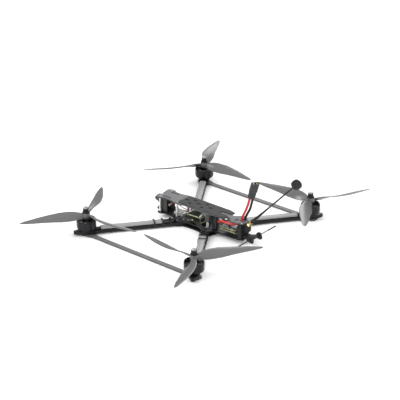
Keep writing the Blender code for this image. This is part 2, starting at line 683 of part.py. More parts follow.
def make_battery_lead(surfaces):
    """The red and the black lead rise through the top plate's slot to the battery plug."""
    lead("battery_lead_red", surfaces["red"], RED_ROUTE, LEAD_RADIUS, 4 * LEAD_RADIUS)
    lead("battery_lead_black", surfaces["shell"], BLACK_ROUTE, LEAD_RADIUS, 4 * LEAD_RADIUS)
    lead("inner_lead_red", surfaces["red"], RED_INNER, LEAD_RADIUS, 2 * LEAD_RADIUS)

    lead("inner_lead_black", surfaces["shell"], BLACK_INNER, LEAD_RADIUS, 2 * LEAD_RADIUS)

    length = (PLUG_END - PLUG_START).length
    bm = box_mesh((16 * MM, 8.2 * MM, length), (0, 0, length / 2), 1.2 * MM)
    plug = add_object("battery_plug", bm, surfaces["shell"], smooth=False)
    way = (PLUG_END - PLUG_START).normalized()
    wide = (PLUG_WIDE - way * PLUG_WIDE.dot(way)).normalized()
    turn = Matrix((wide, way.cross(wide), way)).transposed().to_4x4()
    plug.matrix_world = Matrix.Translation(PLUG_START) @ turn


# ---------------------------------------------------------------- assembly


def make_surfaces():
    return {
        "carbon": material("carbon", (0.025, 0.025, 0.027), 0.45),
        "carbon_light": material("carbon_light", (0.30, 0.30, 0.31), 0.55),
        "pad": material("pad", (0.09, 0.09, 0.095), 0.85),
        "aluminium": material("aluminium", (0.75, 0.76, 0.76), 0.3, 1.0),
        "stator": material("stator", (0.03, 0.03, 0.03), 0.5),
        "bell": material("bell", (0.05, 0.05, 0.055), 0.35, 0.8),
        "black_metal": material("black_metal", (0.03, 0.03, 0.03), 0.4, 0.7),
        "prop": material("prop", (0.12, 0.12, 0.125), 0.35),
        "sleeve": material("sleeve", (0.06, 0.06, 0.06), 0.5),
        "shell": material("shell", (0.03, 0.03, 0.03), 0.5),
        "lens": material("lens", (0.02, 0.02, 0.025), 0.15),
        "board": material("board", (0.02, 0.03, 0.025), 0.5),
        "wrap": material("wrap", (0.35, 0.35, 0.34), 0.4),
        "tpu": material("tpu", (0.02, 0.02, 0.02), 0.7),
        "gold": material("gold", (0.8, 0.55, 0.2), 0.3, 1.0),
        "red": material("red", (0.55, 0.03, 0.03), 0.4),
    }


def main():
    for obj in list(bpy.data.objects):
        bpy.data.objects.remove(obj)
    surfaces = make_surfaces()
    make_plates(surfaces["carbon"], surfaces["carbon_light"])
    make_battery_pad(surfaces["pad"])
    make_standoffs(surfaces["aluminium"])
    for side_name, side in (("left", -1), ("right", 1)):
        make_brace(side_name, side, surfaces["carbon"])
    for name in MOTORS:
        make_arm(name, surfaces["carbon"])
        make_motor(name, surfaces)
        make_motor_wires(name, surfaces["sleeve"])
    make_camera(surfaces)
    make_electronics(surfaces)
    make_rear_mount(surfaces["tpu"])
    make_antenna_holder(surfaces["tpu"])
    make_antennas(surfaces)
    make_battery_lead(surfaces)


main()
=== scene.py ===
"""The looks of a long-range FPV quadcopter: every visible surface around the CAD frame."""

import json
import math
import random

import bmesh
import bpy
from mathutils import Matrix, Vector


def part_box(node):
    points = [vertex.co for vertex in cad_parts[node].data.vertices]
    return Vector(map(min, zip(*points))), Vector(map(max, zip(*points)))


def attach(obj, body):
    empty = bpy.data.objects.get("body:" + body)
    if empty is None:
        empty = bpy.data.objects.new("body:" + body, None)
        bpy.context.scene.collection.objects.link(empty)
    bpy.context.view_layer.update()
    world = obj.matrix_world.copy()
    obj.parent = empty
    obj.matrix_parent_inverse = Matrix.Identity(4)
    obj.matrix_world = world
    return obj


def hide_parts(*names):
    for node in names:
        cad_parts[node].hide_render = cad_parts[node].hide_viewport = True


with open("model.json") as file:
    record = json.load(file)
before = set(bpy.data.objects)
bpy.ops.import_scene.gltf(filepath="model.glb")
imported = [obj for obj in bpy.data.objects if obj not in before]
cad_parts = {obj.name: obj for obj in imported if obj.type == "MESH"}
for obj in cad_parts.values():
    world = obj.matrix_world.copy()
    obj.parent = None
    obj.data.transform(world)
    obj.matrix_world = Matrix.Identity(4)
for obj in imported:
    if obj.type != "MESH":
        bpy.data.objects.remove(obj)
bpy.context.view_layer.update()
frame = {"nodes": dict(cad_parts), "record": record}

MM = 0.001
AIRFRAME = "airframe"
MOTOR_NAMES = ("front_left", "rear_left", "front_right", "rear_right")
TURNS = {"front_left": -1, "rear_left": 1, "front_right": 1, "rear_right": -1}
AXES = {
    joint["name"]: Vector(joint["pos_m"])
    for joint in frame["record"]["behaviour"]["joints"]
    if joint["type"] == "hinge"
}
CAMERA_PIVOT = AXES["camera_tilt"]
ARM_ROOT_Y = 17.5 * MM  # where the middle line of each arm crosses the middle of the body


def low(node):
    return Vector(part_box(node)[0])


def high(node):
    return Vector(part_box(node)[1])


def middle(node):
    return (low(node) + high(node)) / 2


ARM_TOP = high("arm_rear_left").z
ARM_BOTTOM = low("arm_rear_left").z
DECK = high("middle_plate").z
ROOF = low("top_plate").z
ROOF_TOP = high("top_plate").z

# ---------------------------------------------------------------- node helpers


class Surface:
    """A material with its Principled shader, and short calls for the nodes that feed it."""

    def __init__(self, name, colour, roughness, metallic=0.0, **sockets):
        self.material = bpy.data.materials.new(name)
        self.material.use_nodes = True
        self.tree = self.material.node_tree
        self.shader = self.tree.nodes["Principled BSDF"]
        self.shader.inputs["Base Color"].default_value = (*colour, 1)
        self.shader.inputs["Roughness"].default_value = roughness
        self.shader.inputs["Metallic"].default_value = metallic
        for socket, value in sockets.items():
            self.shader.inputs[socket.replace("_", " ")].default_value = value
        place = self.tree.nodes.new("ShaderNodeTexCoord")
        self.place = place.outputs["Object"]
        self.normal = place.outputs["Normal"]

    def feed(self, socket, value):
        if isinstance(value, (int, float)):
            socket.default_value = value
        else:
            self.tree.links.new(value, socket)

    def math(self, operation, a, b=0.0, c=0.0):
        node = self.tree.nodes.new("ShaderNodeMath")
        node.operation = operation
        for socket, value in zip(node.inputs, (a, b, c)):
            self.feed(socket, value)
        return node.outputs[0]

    def axes(self, vector=None):
        node = self.tree.nodes.new("ShaderNodeSeparateXYZ")
        self.tree.links.new(vector or self.place, node.inputs[0])
        return node.outputs

    def stretched(self, scale, turn=(0, 0, 0)):
        node = self.tree.nodes.new("ShaderNodeMapping")
        self.tree.links.new(self.place, node.inputs["Vector"])
        node.inputs["Scale"].default_value = scale
        node.inputs["Rotation"].default_value = turn
        return node.outputs[0]

    def noise(self, scale, detail=3.0, roughness=0.5, vector=None):
        node = self.tree.nodes.new("ShaderNodeTexNoise")
        self.tree.links.new(vector or self.place, node.inputs["Vector"])
        node.inputs["Scale"].default_value = scale
        node.inputs["Detail"].default_value = detail
        node.inputs["Roughness"].default_value = roughness
        return node.outputs["Fac"]

    def cells(self, scale, vector=None, feature="F1"):
        node = self.tree.nodes.new("ShaderNodeTexVoronoi")
        node.feature = feature
        self.tree.links.new(vector or self.place, node.inputs["Vector"])
        node.inputs["Scale"].default_value = scale
        return node.outputs["Distance"]

    def ramp(self, fac, stops):
        node = self.tree.nodes.new("ShaderNodeValToRGB")
        self.tree.links.new(fac, node.inputs[0])
        points = node.color_ramp.elements
        while len(points) < len(stops):
            points.new(0.5)
        for point, (position, colour) in zip(points, stops):
            point.position = position
            point.color = (*colour, 1) if len(colour) == 3 else (colour[0],) * 3 + (1,)
        return node.outputs[0]

    def mix(self, fac, a, b):
        node = self.tree.nodes.new("ShaderNodeMix")
        node.data_type = "RGBA"
        self.feed(node.inputs["Factor"], fac)
        for socket, value in ((node.inputs[6], a), (node.inputs[7], b)):
            if isinstance(value, tuple):
                socket.default_value = (*value, 1)
            else:
                self.tree.links.new(value, socket)
        return node.outputs[2]

    def spread(self, fac, least, most):
        """fac from 0 to 1 made into a range of values."""
        node = self.tree.nodes.new("ShaderNodeMapRange")
        self.tree.links.new(fac, node.inputs["Value"])
        node.inputs["To Min"].default_value = least
        node.inputs["To Max"].default_value = most
        return node.outputs[0]

    def colour(self, value):
        self.tree.links.new(value, self.shader.inputs["Base Color"])

    def rough(self, value):
        self.tree.links.new(value, self.shader.inputs["Roughness"])

    def bump(self, height, distance, strength=1.0):
        """Relief: a height from 0 to 1 stands for that distance in metres."""
        node = self.tree.nodes.new("ShaderNodeBump")
        node.inputs["Strength"].default_value = strength
        node.inputs["Distance"].default_value = distance
        self.tree.links.new(height, node.inputs["Height"])
        self.tree.links.new(node.outputs[0], self.shader.inputs["Normal"])


def darker(colour, share):
    return tuple(channel * share for channel in colour)


def mottled(surface, colour, scale, share=0.75):
    """Fine variation of a colour and its gloss, as handled plastic and metal have."""
    fac = surface.noise(scale, 4.0)
    surface.colour(surface.ramp(fac, [(0.35, darker(colour, share)), (0.65, colour)]))
    return fac


# ---------------------------------------------------------------- materials


def carbon(name, colour, roughness, glint, turn=math.pi / 4):
    """Twill woven carbon plate: tows 2 mm wide on its faces, and plies along its cut edges."""
    tow = 2.0 * MM
    made = Surface(name, colour, roughness, Specular_IOR_Level=0.3)
    x, y, _ = made.axes(made.stretched((1 / tow, 1 / tow, 1 / tow), (0, 0, turn)))
    step = made.math("ADD", made.math("FLOOR", x), made.math("FLOOR", y))
    over = made.math("LESS_THAN", made.math("MODULO", made.math("ADD", step, 4000), 4), 1.5)
    across = made.math("SINE", made.math("MULTIPLY", made.math("FRACT", x), math.pi))
    along = made.math("SINE", made.math("MULTIPLY", made.math("FRACT", y), math.pi))
    tows = made.math(
        "ADD",
        made.math("MULTIPLY", over, across),
        made.math("MULTIPLY", made.math("SUBTRACT", 1.0, over), along),
    )
    fibres = made.noise(1.0, 2.0, vector=made.stretched((9000, 1400, 1), (0, 0, turn)))
    worn = made.noise(55, 4.0)
    face = made.mix(made.math("MULTIPLY", over, made.spread(fibres, 0.55, 1.0)), colour, glint)
    face = made.mix(made.spread(worn, 0.0, 0.35), face, darker(colour, 0.6))

    _, _, z = made.axes()
    ply = made.math("FRACT", made.math("MULTIPLY", z, 1 / (0.5 * MM)))
    edge = made.mix(made.math("GREATER_THAN", ply, 0.5), darker(colour, 0.35), darker(colour, 0.8))
    _, _, up = made.axes(made.normal)
    flat = made.math("GREATER_THAN", made.math("ABSOLUTE", up), 0.7)
    made.colour(made.mix(flat, edge, face))
    made.rough(made.spread(fibres, roughness - 0.06, roughness + 0.12))
    made.bump(tows, 0.05 * MM, 0.5)
    return made.material


def prop_nylon():
    """Smoky moulded nylon: satin, with faint flow lines that run out from the hub."""
    colour = (0.085, 0.086, 0.088)
    made = Surface("prop_nylon", colour, 0.3, Specular_IOR_Level=0.7)
    flow = made.noise(1.0, 3.0, vector=made.stretched((60, 60, 900)))
    made.colour(made.ramp(flow, [(0.3, darker(colour, 0.8)), (0.7, colour)]))
    grain = made.noise(2600, 2.0)
    made.rough(made.spread(made.noise(70, 3.0), 0.26, 0.36))
    made.bump(grain, 0.02 * MM, 0.35)
    return made.material


def anodised(name, colour, roughness, metallic=0.85):
    """Turned metal under a black coat: tool marks run round the axis."""
    made = Surface(name, colour, roughness, metallic)
    x, y, z = made.axes()
    squares = [made.math("MULTIPLY", axis, axis) for axis in (x, y)]
    radius = made.math("SQRT", made.math("ADD", *squares))
    combined = made.tree.nodes.new("ShaderNodeCombineXYZ")
    made.feed(combined.inputs[0], made.math("MULTIPLY", radius, 9000))
    made.feed(combined.inputs[1], made.math("MULTIPLY", z, 9000))
    marks = made.noise(1.0, 2.0, vector=combined.outputs[0])
    dust = made.noise(240, 4.0)
    made.colour(made.ramp(dust, [(0.3, darker(colour, 0.7)), (0.75, colour)]))
    made.rough(made.spread(marks, roughness - 0.08, roughness + 0.14))
    made.bump(marks, 0.02 * MM, 0.5)
    return made.material


def turned_aluminium():
    made = Surface("turned_aluminium", (0.80, 0.81, 0.81), 0.28, 1.0)
    marks = made.noise(1.0, 2.0, vector=made.stretched((40, 40, 9000)))
    made.colour(made.ramp(marks, [(0.3, (0.66, 0.67, 0.67)), (0.7, (0.84, 0.85, 0.85))]))
    made.rough(made.spread(marks, 0.2, 0.42))
    made.bump(marks, 0.015 * MM, 0.4)
    return made.material


def grip_rubber():
    """The battery pad: matt rubber with a fine raised grid."""
    colour = (0.052, 0.052, 0.054)
    made = Surface("grip_rubber", colour, 0.85, Specular_IOR_Level=0.3)
    x, y, _ = made.axes(made.stretched((1 / (1.2 * MM),) * 3, (0, 0, math.pi / 4)))
    waves = [made.math("PINGPONG", axis, 0.5) for axis in (x, y)]
    studs = made.math("MULTIPLY", made.math("MULTIPLY", waves[0], waves[1]), 4.0)
    dust = made.noise(130, 5.0, 0.6)
    made.colour(made.ramp(dust, [(0.35, darker(colour, 0.82)), (0.7, darker(colour, 1.12))]))
    made.rough(made.spread(dust, 0.75, 0.92))
    made.bump(studs, 0.12 * MM, 0.5)
    return made.material


def printed_tpu():
    """Printed flexible plastic, in layers 0.2 mm high."""
    colour = (0.009, 0.010, 0.010)
    made = Surface("printed_tpu", colour, 0.6, Specular_IOR_Level=0.3)
    _, _, z = made.axes()
    layer = made.math("PINGPONG", made.math("MULTIPLY", z, 1 / (0.2 * MM)), 0.5)
    wander = made.noise(500, 3.0)
    height = made.math("ADD", made.math("MULTIPLY", layer, 2.0), made.math("MULTIPLY", wander, 0.5))
    made.colour(made.ramp(wander, [(0.3, darker(colour, 0.6)), (0.7, darker(colour, 1.5))]))
    made.rough(made.spread(wander, 0.45, 0.7))
    made.bump(height, 0.06 * MM, 0.6)
    return made.material


def silicone(name, colour):
    made = Surface(name, colour, 0.38, Specular_IOR_Level=0.35)
    fac = mottled(made, colour, 220, 0.86)
    made.rough(made.spread(fac, 0.3, 0.5))
    made.bump(made.noise(1800, 2.0), 0.015 * MM, 0.4)
    return made.material


def moulded(name, colour, roughness=0.45):
    """Injection moulded plastic with a fine spark-eroded texture."""
    made = Surface(name, colour, roughness, Specular_IOR_Level=0.3)
    fac = mottled(made, colour, 160, 0.8)
    made.rough(made.spread(fac, roughness - 0.08, roughness + 0.1))
    made.bump(made.noise(3200, 2.0), 0.02 * MM, 0.45)
    return made.material


def plated(name, colour, roughness=0.22):
    made = Surface(name, colour, roughness, 1.0)
    fac = mottled(made, colour, 500, 0.85)
    made.rough(made.spread(fac, roughness - 0.06, roughness + 0.14))
    made.bump(made.noise(2500, 2.0), 0.008 * MM, 0.4)
    return made.material


def enamelled_copper():
    """Winding wire: dark copper strands, 0.4 mm apart."""
    made = Surface("enamelled_copper", (0.10, 0.04, 0.018), 0.35, 0.9)
    _, _, z = made.axes()
    strand = made.math("PINGPONG", made.math("MULTIPLY", z, 1 / (0.4 * MM)), 0.5)
    # Painted shade: the colour is darkest in the grooves between strands, where the bump is lowest
    made.colour(made.ramp(strand, [(0.0, (0.03, 0.012, 0.006)), (0.5, (0.13, 0.05, 0.022))]))
    made.rough(made.spread(made.noise(900), 0.25, 0.45))
    made.bump(strand, 0.15 * MM, 0.8)
    return made.material


def circuit_board():
    """Dark solder mask with copper tracks showing through it, and bare gold at the edges."""
    mask = (0.008, 0.016, 0.012)
    made = Surface("circuit_board", mask, 0.4)
    tracks = made.cells(520, feature="DISTANCE_TO_EDGE")
    lines = made.math("LESS_THAN", tracks, 0.06)
    pads = made.math("LESS_THAN", made.cells(900), 0.13)
    face = made.mix(lines, mask, (0.030, 0.058, 0.042))
    face = made.mix(pads, face, (0.40, 0.37, 0.28))
    _, _, up = made.axes(made.normal)
    side = made.math("LESS_THAN", made.math("ABSOLUTE", up), 0.5)
    made.colour(made.mix(side, face, (0.30, 0.30, 0.13)))
    made.rough(made.spread(made.noise(600), 0.28, 0.5))
    made.bump(lines, 0.03 * MM, 0.4)
    return made.material


def motor_tape(name, colour, roughness):
    """Smooth cloth-backed tape: it catches the light along its top, with faint creases. Its colour is
    painted darker in the hollows of the creases, as painted shade.
    """
    made = Surface(name, colour, roughness, Specular_IOR_Level=0.6)
    crease = made.noise(1.0, 4.0, 0.6, vector=made.stretched((260, 260, 90)))
    # Painted shade: the colour is darker where the crease relief is low
    made.colour(made.ramp(crease, [(0.3, darker(colour, 0.75)), (0.7, colour)]))
    made.rough(made.spread(crease, roughness - 0.08, roughness + 0.14))
    made.bump(crease, 0.12 * MM, 0.35)
    return made.material


def shrink_wrap():
    """Translucent grey heat shrink, pulled tight over a small board."""
    colour = (0.42, 0.42, 0.40)
    made = Surface("shrink_wrap", colour, 0.25, Coat_Weight=0.5, Coat_Roughness=0.15)
    blotch = made.noise(170, 4.0, 0.6)
    made.colour(made.ramp(blotch, [(0.36, (0.16, 0.17, 0.16)), (0.62, colour)]))
    made.rough(made.spread(blotch, 0.18, 0.36))
    made.bump(made.noise(420, 3.0), 0.2 * MM, 0.4)
    return made.material


def coated_glass():
    made = Surface("coated_glass", (0.015, 0.012, 0.03), 0.05, Coat_Weight=1.0, Coat_Roughness=0.03)
    tint = made.noise(160, 1.0)
    made.colour(made.ramp(tint, [(0.4, (0.01, 0.012, 0.035)), (0.6, (0.035, 0.012, 0.045))]))
    return made.material


def make_palette():
    return {
        "carbon": carbon("carbon_dark", (0.005, 0.005, 0.006), 0.4, (0.018, 0.018, 0.019)),
        # The brace carbon is the same carbon painted lighter: a painted sheen on the braces' tops
        "brace": carbon("carbon_brace_painted_sheen", (0.115, 0.115, 0.12), 0.4, (0.17, 0.17, 0.175)),
        # The deck carbon is the same carbon painted lighter: a painted sheen of the sky on the top plate
        "deck": carbon("carbon_deck_painted_sheen", (0.13, 0.13, 0.135), 0.6, (0.18, 0.18, 0.185)),
        "guard": moulded("camera_guard", (0.05, 0.05, 0.052), 0.5),
        "prop": prop_nylon(),
        "bell": anodised("bell_black", (0.026, 0.026, 0.028), 0.26),
        "black_metal": anodised("black_oxide", (0.009, 0.009, 0.010), 0.4, 0.5),
        "steel": plated("screw_steel", (0.36, 0.37, 0.38), 0.3),
        "magnet": plated("magnet_nickel", (0.5, 0.5, 0.5), 0.3),
        "aluminium": turned_aluminium(),
        "pad": grip_rubber(),
        "tpu": printed_tpu(),
        "red": silicone("red_silicone", (0.43, 0.028, 0.024)),
        "black": silicone("black_silicone", (0.006, 0.006, 0.007)),
        "shell": moulded("black_plastic", (0.007, 0.007, 0.008)),
        "plug": moulded("plug_nylon", (0.026, 0.032, 0.031), 0.4),
        "chip": moulded("chip_resin", (0.018, 0.018, 0.018), 0.35),
        "cream": moulded("connector_nylon", (0.62, 0.60, 0.54), 0.45),
        "tie": moulded("tie_nylon", (0.012, 0.012, 0.012), 0.3),
        "gold": plated("gold_plate", (0.90, 0.66, 0.28)),
        "solder": plated("solder_tin", (0.62, 0.63, 0.64), 0.32),
        "copper": enamelled_copper(),
        "board": circuit_board(),
        # The tape's light grey is a painted sheen on dark tape
        "tape": motor_tape("wire_tape_painted_sheen", (0.26, 0.26, 0.265), 0.36),
        "sleeve": motor_tape("black_sleeve", (0.005, 0.005, 0.006), 0.34),
        "wrap": shrink_wrap(),
        "glass": coated_glass(),
    }


# ---------------------------------------------------------------- mesh helpers


def merge(bm, piece, place=Matrix.Identity(4)):
    """Adds one bmesh to another at a place."""
    piece.transform(place)
    bmesh.ops.recalc_face_normals(piece, faces=piece.faces)
    held = bpy.data.meshes.new("held")
    piece.to_mesh(held)
    piece.free()
    bm.from_mesh(held)
    bpy.data.meshes.remove(held)


def block(size, rounding=0.0, segments=2):
    bm = bmesh.new()
    bmesh.ops.create_cube(bm, size=1)
    bmesh.ops.scale(bm, vec=size, verts=bm.verts)
    if rounding:
        bmesh.ops.bevel(
            bm, geom=list(bm.edges), offset=rounding, segments=segments, profile=0.6, affect="EDGES"
        )
    return bm


def lathe(profile, steps=48):
    """A profile of (radius, height) points turned about Z."""
    bm = bmesh.new()
    ring = [bm.verts.new((radius, 0, height)) for radius, height in profile]
    edges = [bm.edges.new(pair) for pair in zip(ring, ring[1:])]
    if profile[0][0] > 0:
        edges.append(bm.edges.new((ring[-1], ring[0])))
    bmesh.ops.spin(
        bm,
        geom=ring + edges,
        cent=(0, 0, 0),
        axis=(0, 0, 1),
        angle=2 * math.pi,
        steps=steps,
        use_merge=True,
    )
    bmesh.ops.remove_doubles(bm, verts=bm.verts, dist=1e-7)
    return bm


def lofted(rings, closed=False):
    """Rings of points joined into one skin, with caps unless it runs round in a loop."""
    bm = bmesh.new()
    made = [[bm.verts.new(point) for point in ring] for ring in rings]
    pairs = list(zip(made, made[1:] + made[:1])) if closed else list(zip(made, made[1:]))
    count = len(made[0])
    for ring, following in pairs:
        for j in range(count):
            k = (j + 1) % count
            bm.faces.new((ring[j], ring[k], following[k], following[j]))
    if not closed:
        bm.faces.new(made[0])
        bm.faces.new(made[-1])
    return bm


def smooth_route(points, spacing):
    """Points on a Catmull-Rom curve through the route's own points."""
    ends = [2 * points[0] - points[1]] + points + [2 * points[-1] - points[-2]]
    fine = []
    for before, a, b, after in zip(ends, ends[1:], ends[2:], ends[3:]):
        steps = max(2, round((b - a).length / spacing))
        for i in range(steps):
            t = i / steps
            square = 2 * before - 5 * a + 4 * b - after
            cube = 3 * a - before - 3 * b + after
            fine.append(0.5 * (2 * a + (b - before) * t + square * t**2 + cube * t**3))
    return fine + [points[-1]]


def tube(points, radius, sides=10):
    """A round tube along points, with its rings kept from twisting."""
    rings = []
    side = None
    for i, point in enumerate(points):
        way = (points[min(i + 1, len(points) - 1)] - points[max(i - 1, 0)]).normalized()
        if side is None:
            side = way.orthogonal().normalized()
        side = (side - way * side.dot(way)).normalized()
        other = way.cross(side)
        turns = [2 * math.pi * j / sides for j in range(sides)]
        rings.append([point + radius * (math.cos(a) * side + math.sin(a) * other) for a in turns])
    return lofted(rings)


def wire(route, radius, sides=10):
    """A tube along a smooth route given in millimetres."""
    points = [Vector(point) * MM for point in route]
    return tube(smooth_route(points, 2.2 * radius), radius, sides)


def standing(start, end):
    """The place of something made along +Z so that it runs from start towards end."""
    way = Vector(end) - Vector(start)
    return Matrix.Translation(start) @ way.to_track_quat("Z", "Y").to_matrix().to_4x4()


def at(x, y, z, turn=0.0):
    return Matrix.Translation((x, y, z)) @ Matrix.Rotation(turn, 4, "Z")


def shaped(name, bm, surface, body, location=(0, 0, 0), sharp=32, replaces=()):
    """A bmesh made into a piece that rides on a body."""
    bmesh.ops.recalc_face_normals(bm, faces=bm.faces)
    mesh = bpy.data.meshes.new(name)
    bm.to_mesh(mesh)
    bm.free()
    mesh.shade_smooth()
    mesh.set_sharp_from_angle(angle=math.radians(sharp))
    mesh.materials.append(surface)
    piece = bpy.data.objects.new(name, mesh)
    piece.location = location
    bpy.context.scene.collection.objects.link(piece)
    if replaces:
        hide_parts(*replaces)
    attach(piece, body)
    return piece


def soften(piece, width, segments=2):
    """Breaks the sharp edges, as a cutter or a mould leaves them."""
    bevel = piece.modifiers.new("soften", "BEVEL")
    bevel.width = width
    bevel.segments = segments
    bevel.limit_method = "ANGLE"
    bevel.angle_limit = math.radians(40)
    bevel.harden_normals = False


def dress(node, surface, edge=0.0):
    """Gives a CAD node its real material, and breaks its edges."""
    piece = frame["nodes"][node]
    for held in piece.material_slots:
        held.material = surface
    if edge:
        soften(piece, edge)
    return piece


def screw_head(radius, height, socket=0.45):
    """A button head with a hexagon socket, its flat underside at z 0."""
    return lathe(
        [
            (0, 0),
            (radius, 0),
            (radius, height * 0.25),
            (radius * 0.82, height * 0.75),
            (radius * 0.5, height),
            (radius * socket, height),
            (radius * socket, height * 0.35),
            (0, height * 0.35),
        ],
        24,
    )


# ---------------------------------------------------------------- camera and cords

VIEW_AZIMUTH = math.radians(-48.152)
VIEW_ELEVATION = math.radians(23.756)
VIEW_ROLL = math.radians(-0.221)
VIEW_DISTANCE = 2.8417
VIEW_HEIGHT = 42.0 * MM  # the level of the blade tips, which the view is aimed at
VIEW_OFFSET = (0.872 * MM, 11.314 * MM)
FOCAL_LENGTH = 135.1


def make_camera():
    azimuth, elevation = VIEW_AZIMUTH, VIEW_ELEVATION
    back = Vector(
        (
            math.sin(azimuth) * math.cos(elevation),
            -math.cos(azimuth) * math.cos(elevation),
            math.sin(elevation),
        )
    )
    right = (-back).cross(Vector((0, 0, 1))).normalized()
    up = right.cross(-back)
    side = right * math.cos(VIEW_ROLL) + up * math.sin(VIEW_ROLL)
    top = up * math.cos(VIEW_ROLL) - right * math.sin(VIEW_ROLL)
    place = Vector((0, 0, VIEW_HEIGHT)) + back * VIEW_DISTANCE
    place += side * VIEW_OFFSET[0] + top * VIEW_OFFSET[1]
    data = bpy.data.cameras.new("camera")
    data.sensor_width = 36
    data.lens = FOCAL_LENGTH
    data.clip_start, data.clip_end = 0.1, 30
    camera = bpy.data.objects.new("camera", data)
    turn = Matrix((side, top, back)).transposed().to_4x4()
    camera.matrix_world = Matrix.Translation(place) @ turn
    bpy.context.scene.collection.objects.link(camera)
    bpy.context.scene.camera = camera


LEAD_RADIUS = 2.3 * MM
LEAD_EXIT_Z = 44.4
RED_ROUTE = [(-1.8, -106.4, LEAD_EXIT_Z), (-2.0, -107.6, 50.0), (-3.0, -112.4, 60.0)]
RED_ROUTE += [(-3.5, -117.9, 70.5), (-3.4, -123.0, 84.0), (-3.0, -126.0, 95.6)]
BLACK_ROUTE = [(5.4, -108.4, LEAD_EXIT_Z), (5.2, -109.8, 50.0), (4.2, -115.4, 60.0)]
BLACK_ROUTE += [(3.2, -121.6, 70.5), (2.9, -125.8, 84.0), (3.0, -128.6, 94.7)]
PLUG_START = Vector((0.0, -127.3, 96.0)) * MM
PLUG_END = Vector((0.0, -137.0, 127.0)) * MM
PLUG_WIDE = Vector((0.91, -0.42, 0.0))


def plug_place():
    way = (PLUG_END - PLUG_START).normalized()
    wide = (PLUG_WIDE - way * PLUG_WIDE.dot(way)).normalized()
    turn = Matrix((wide, way.cross(wide), way)).transposed().to_4x4()
    return Matrix.Translation(PLUG_START) @ turn


def plug_ring(width, depth, height, corner=1.2 * MM, cut=2.4 * MM):
    """The plug's section: square at one end, and cut at an angle at the other to key it."""
    x, y = width / 2, depth / 2
    return [
        Vector((px, py, height))
        for px, py in (
            (-x + corner, -y),
            (x - cut, -y),
            (x, -y + cut),
            (x, y - cut),
            (x - cut, y),
            (-x + corner, y),
            (-x + corner * 0.3, y - corner * 0.3),
            (-x, y - corner),
            (-x, -y + corner),
            (-x + corner * 0.3, -y + corner * 0.3),
        )
    ]


def make_plug(palette):
    """The battery plug: ribbed grip, and an open shroud with two gold contacts."""
    length = (PLUG_END - PLUG_START).length
    width, depth = 15.8 * MM, 8.0 * MM
    wall = 1.1 * MM
    grip = length * 0.42
    stations = [(0.0, 0.80), (1.2 * MM, 0.90), (grip - 1 * MM, 0.92), (grip, 1.0), (length, 1.0)]
    rings = [plug_ring(width * s, depth * s, z) for z, s in stations]
    well = length - 9 * MM
    rings.append(plug_ring(width - 2 * wall, depth - 2 * wall, length, 0.8 * MM, 2.0 * MM))
    rings.append(plug_ring(width - 2 * wall, depth - 2 * wall, well, 0.8 * MM, 2.0 * MM))
    housing = lofted(rings)
    for i in range(4):
        rib = block((width * 0.56, depth * 0.97, 0.9 * MM), 0.25 * MM)
        merge(housing, rib, at(0, 0, grip * 0.25 + i * 2.2 * MM))
    place = plug_place()
    housing.transform(place)
    plug = shaped(
        "plug_housing", housing, palette["plug"], AIRFRAME, replaces=("battery_plug",),
    )

    contacts = bmesh.new()
    pin = [(0, well), (1.75 * MM, well), (1.75 * MM, length - 1.6 * MM), (1.3 * MM, length - 0.6 * MM)]
    pin += [(0.5 * MM, length - 0.4 * MM), (0.5 * MM, length - 3 * MM), (0, length - 3 * MM)]
    for x in (-3.5 * MM, 3.5 * MM):
        merge(contacts, lathe(pin, 20), Matrix.Translation((x, 0, 0)))
    contacts.transform(place)
    gold = shaped("plug_contacts", contacts, palette["gold"], AIRFRAME)
    return [plug, gold]


def make_lead(name, route, surface):
    points = smooth_route([Vector(point) * MM for point in route], 2 * MM)
    curve = bpy.data.curves.new(name, "CURVE")
    curve.dimensions = "3D"
    curve.bevel_depth = LEAD_RADIUS
    curve.bevel_resolution = 6
    curve.use_fill_caps = True
    spline = curve.splines.new("POLY")
    spline.points.add(len(points) - 1)
    for place, point in zip(spline.points, points):
        place.co = (*point, 1)
    curve.materials.append(surface)
    piece = bpy.data.objects.new(name + "_sheath", curve)
    bpy.context.scene.collection.objects.link(piece)
    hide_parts(name)
    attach(piece, AIRFRAME)


def make_cords(palette):
    pieces = make_plug(palette)
    make_lead("battery_lead_red", RED_ROUTE, palette["red"])
    make_lead("battery_lead_black", BLACK_ROUTE, palette["black"])


# ---------------------------------------------------------------- propulsion

PROP_PITCH = 127.0 * MM
BLADE_ROOT = 5.6 * MM
SPAN_START = 6.0 * MM
TIP_SWEEP = 5.0 * MM  # how far each blade's tip trails its root line


def axis_of(name):
    place = AXES["spin_" + name]
    return Vector((place.x, place.y, 0))


def first_blade(name):
    """The angle of one blade's root line, and its span, from the furthest tip of the CAD one."""
    axis = axis_of(name)
    reach = [v.co - axis for v in frame["nodes"]["propeller_" + name].data.vertices]
    tip = max(reach, key=lambda p: p.x**2 + p.y**2)
    span = math.hypot(tip.x, tip.y)
    ends = [p for p in reach if (p - tip).length < 4 * MM and math.hypot(p.x, p.y) > span - 1 * MM]
    centre = sum(ends, Vector()) / len(ends)
    sweep = TURNS[name] * math.asin(TIP_SWEEP / span)
    return math.atan2(centre.y, centre.x) + sweep, span


def blade_chord(share):
    root, widest = 11.0 * MM, 25.0 * MM
    if share < 0.33:
        return root + (widest - root) * math.sin(math.pi / 2 * share / 0.33)
    fall = (share - 0.33) / 0.67
    return widest * math.sqrt(max(0.0, 1 - fall**2.3)) * (1 - 0.42 * fall) + 1.6 * MM


def foil(points=14):
    """A thin cambered section: (along the chord, up) from the leading edge and back again."""
    shape = []
    for i in range(points):
        x = 0.5 - 0.5 * math.cos(math.pi * i / (points - 1))
        thick = 5.0 * (0.2969 * math.sqrt(x) - 0.126 * x - 0.3516 * x**2 + 0.2843 * x**3 - 0.1015 * x**4)
        shape.append((0.5 - x, thick, 0.45 * math.sin(math.pi * min(1, x * 1.1))))
    over = [(x, camber * 0.9 + thick) for x, thick, camber in shape]
    under = [(x, camber * 0.9 - thick) for x, thick, camber in shape[1:-1]]
    return over + under[::-1]


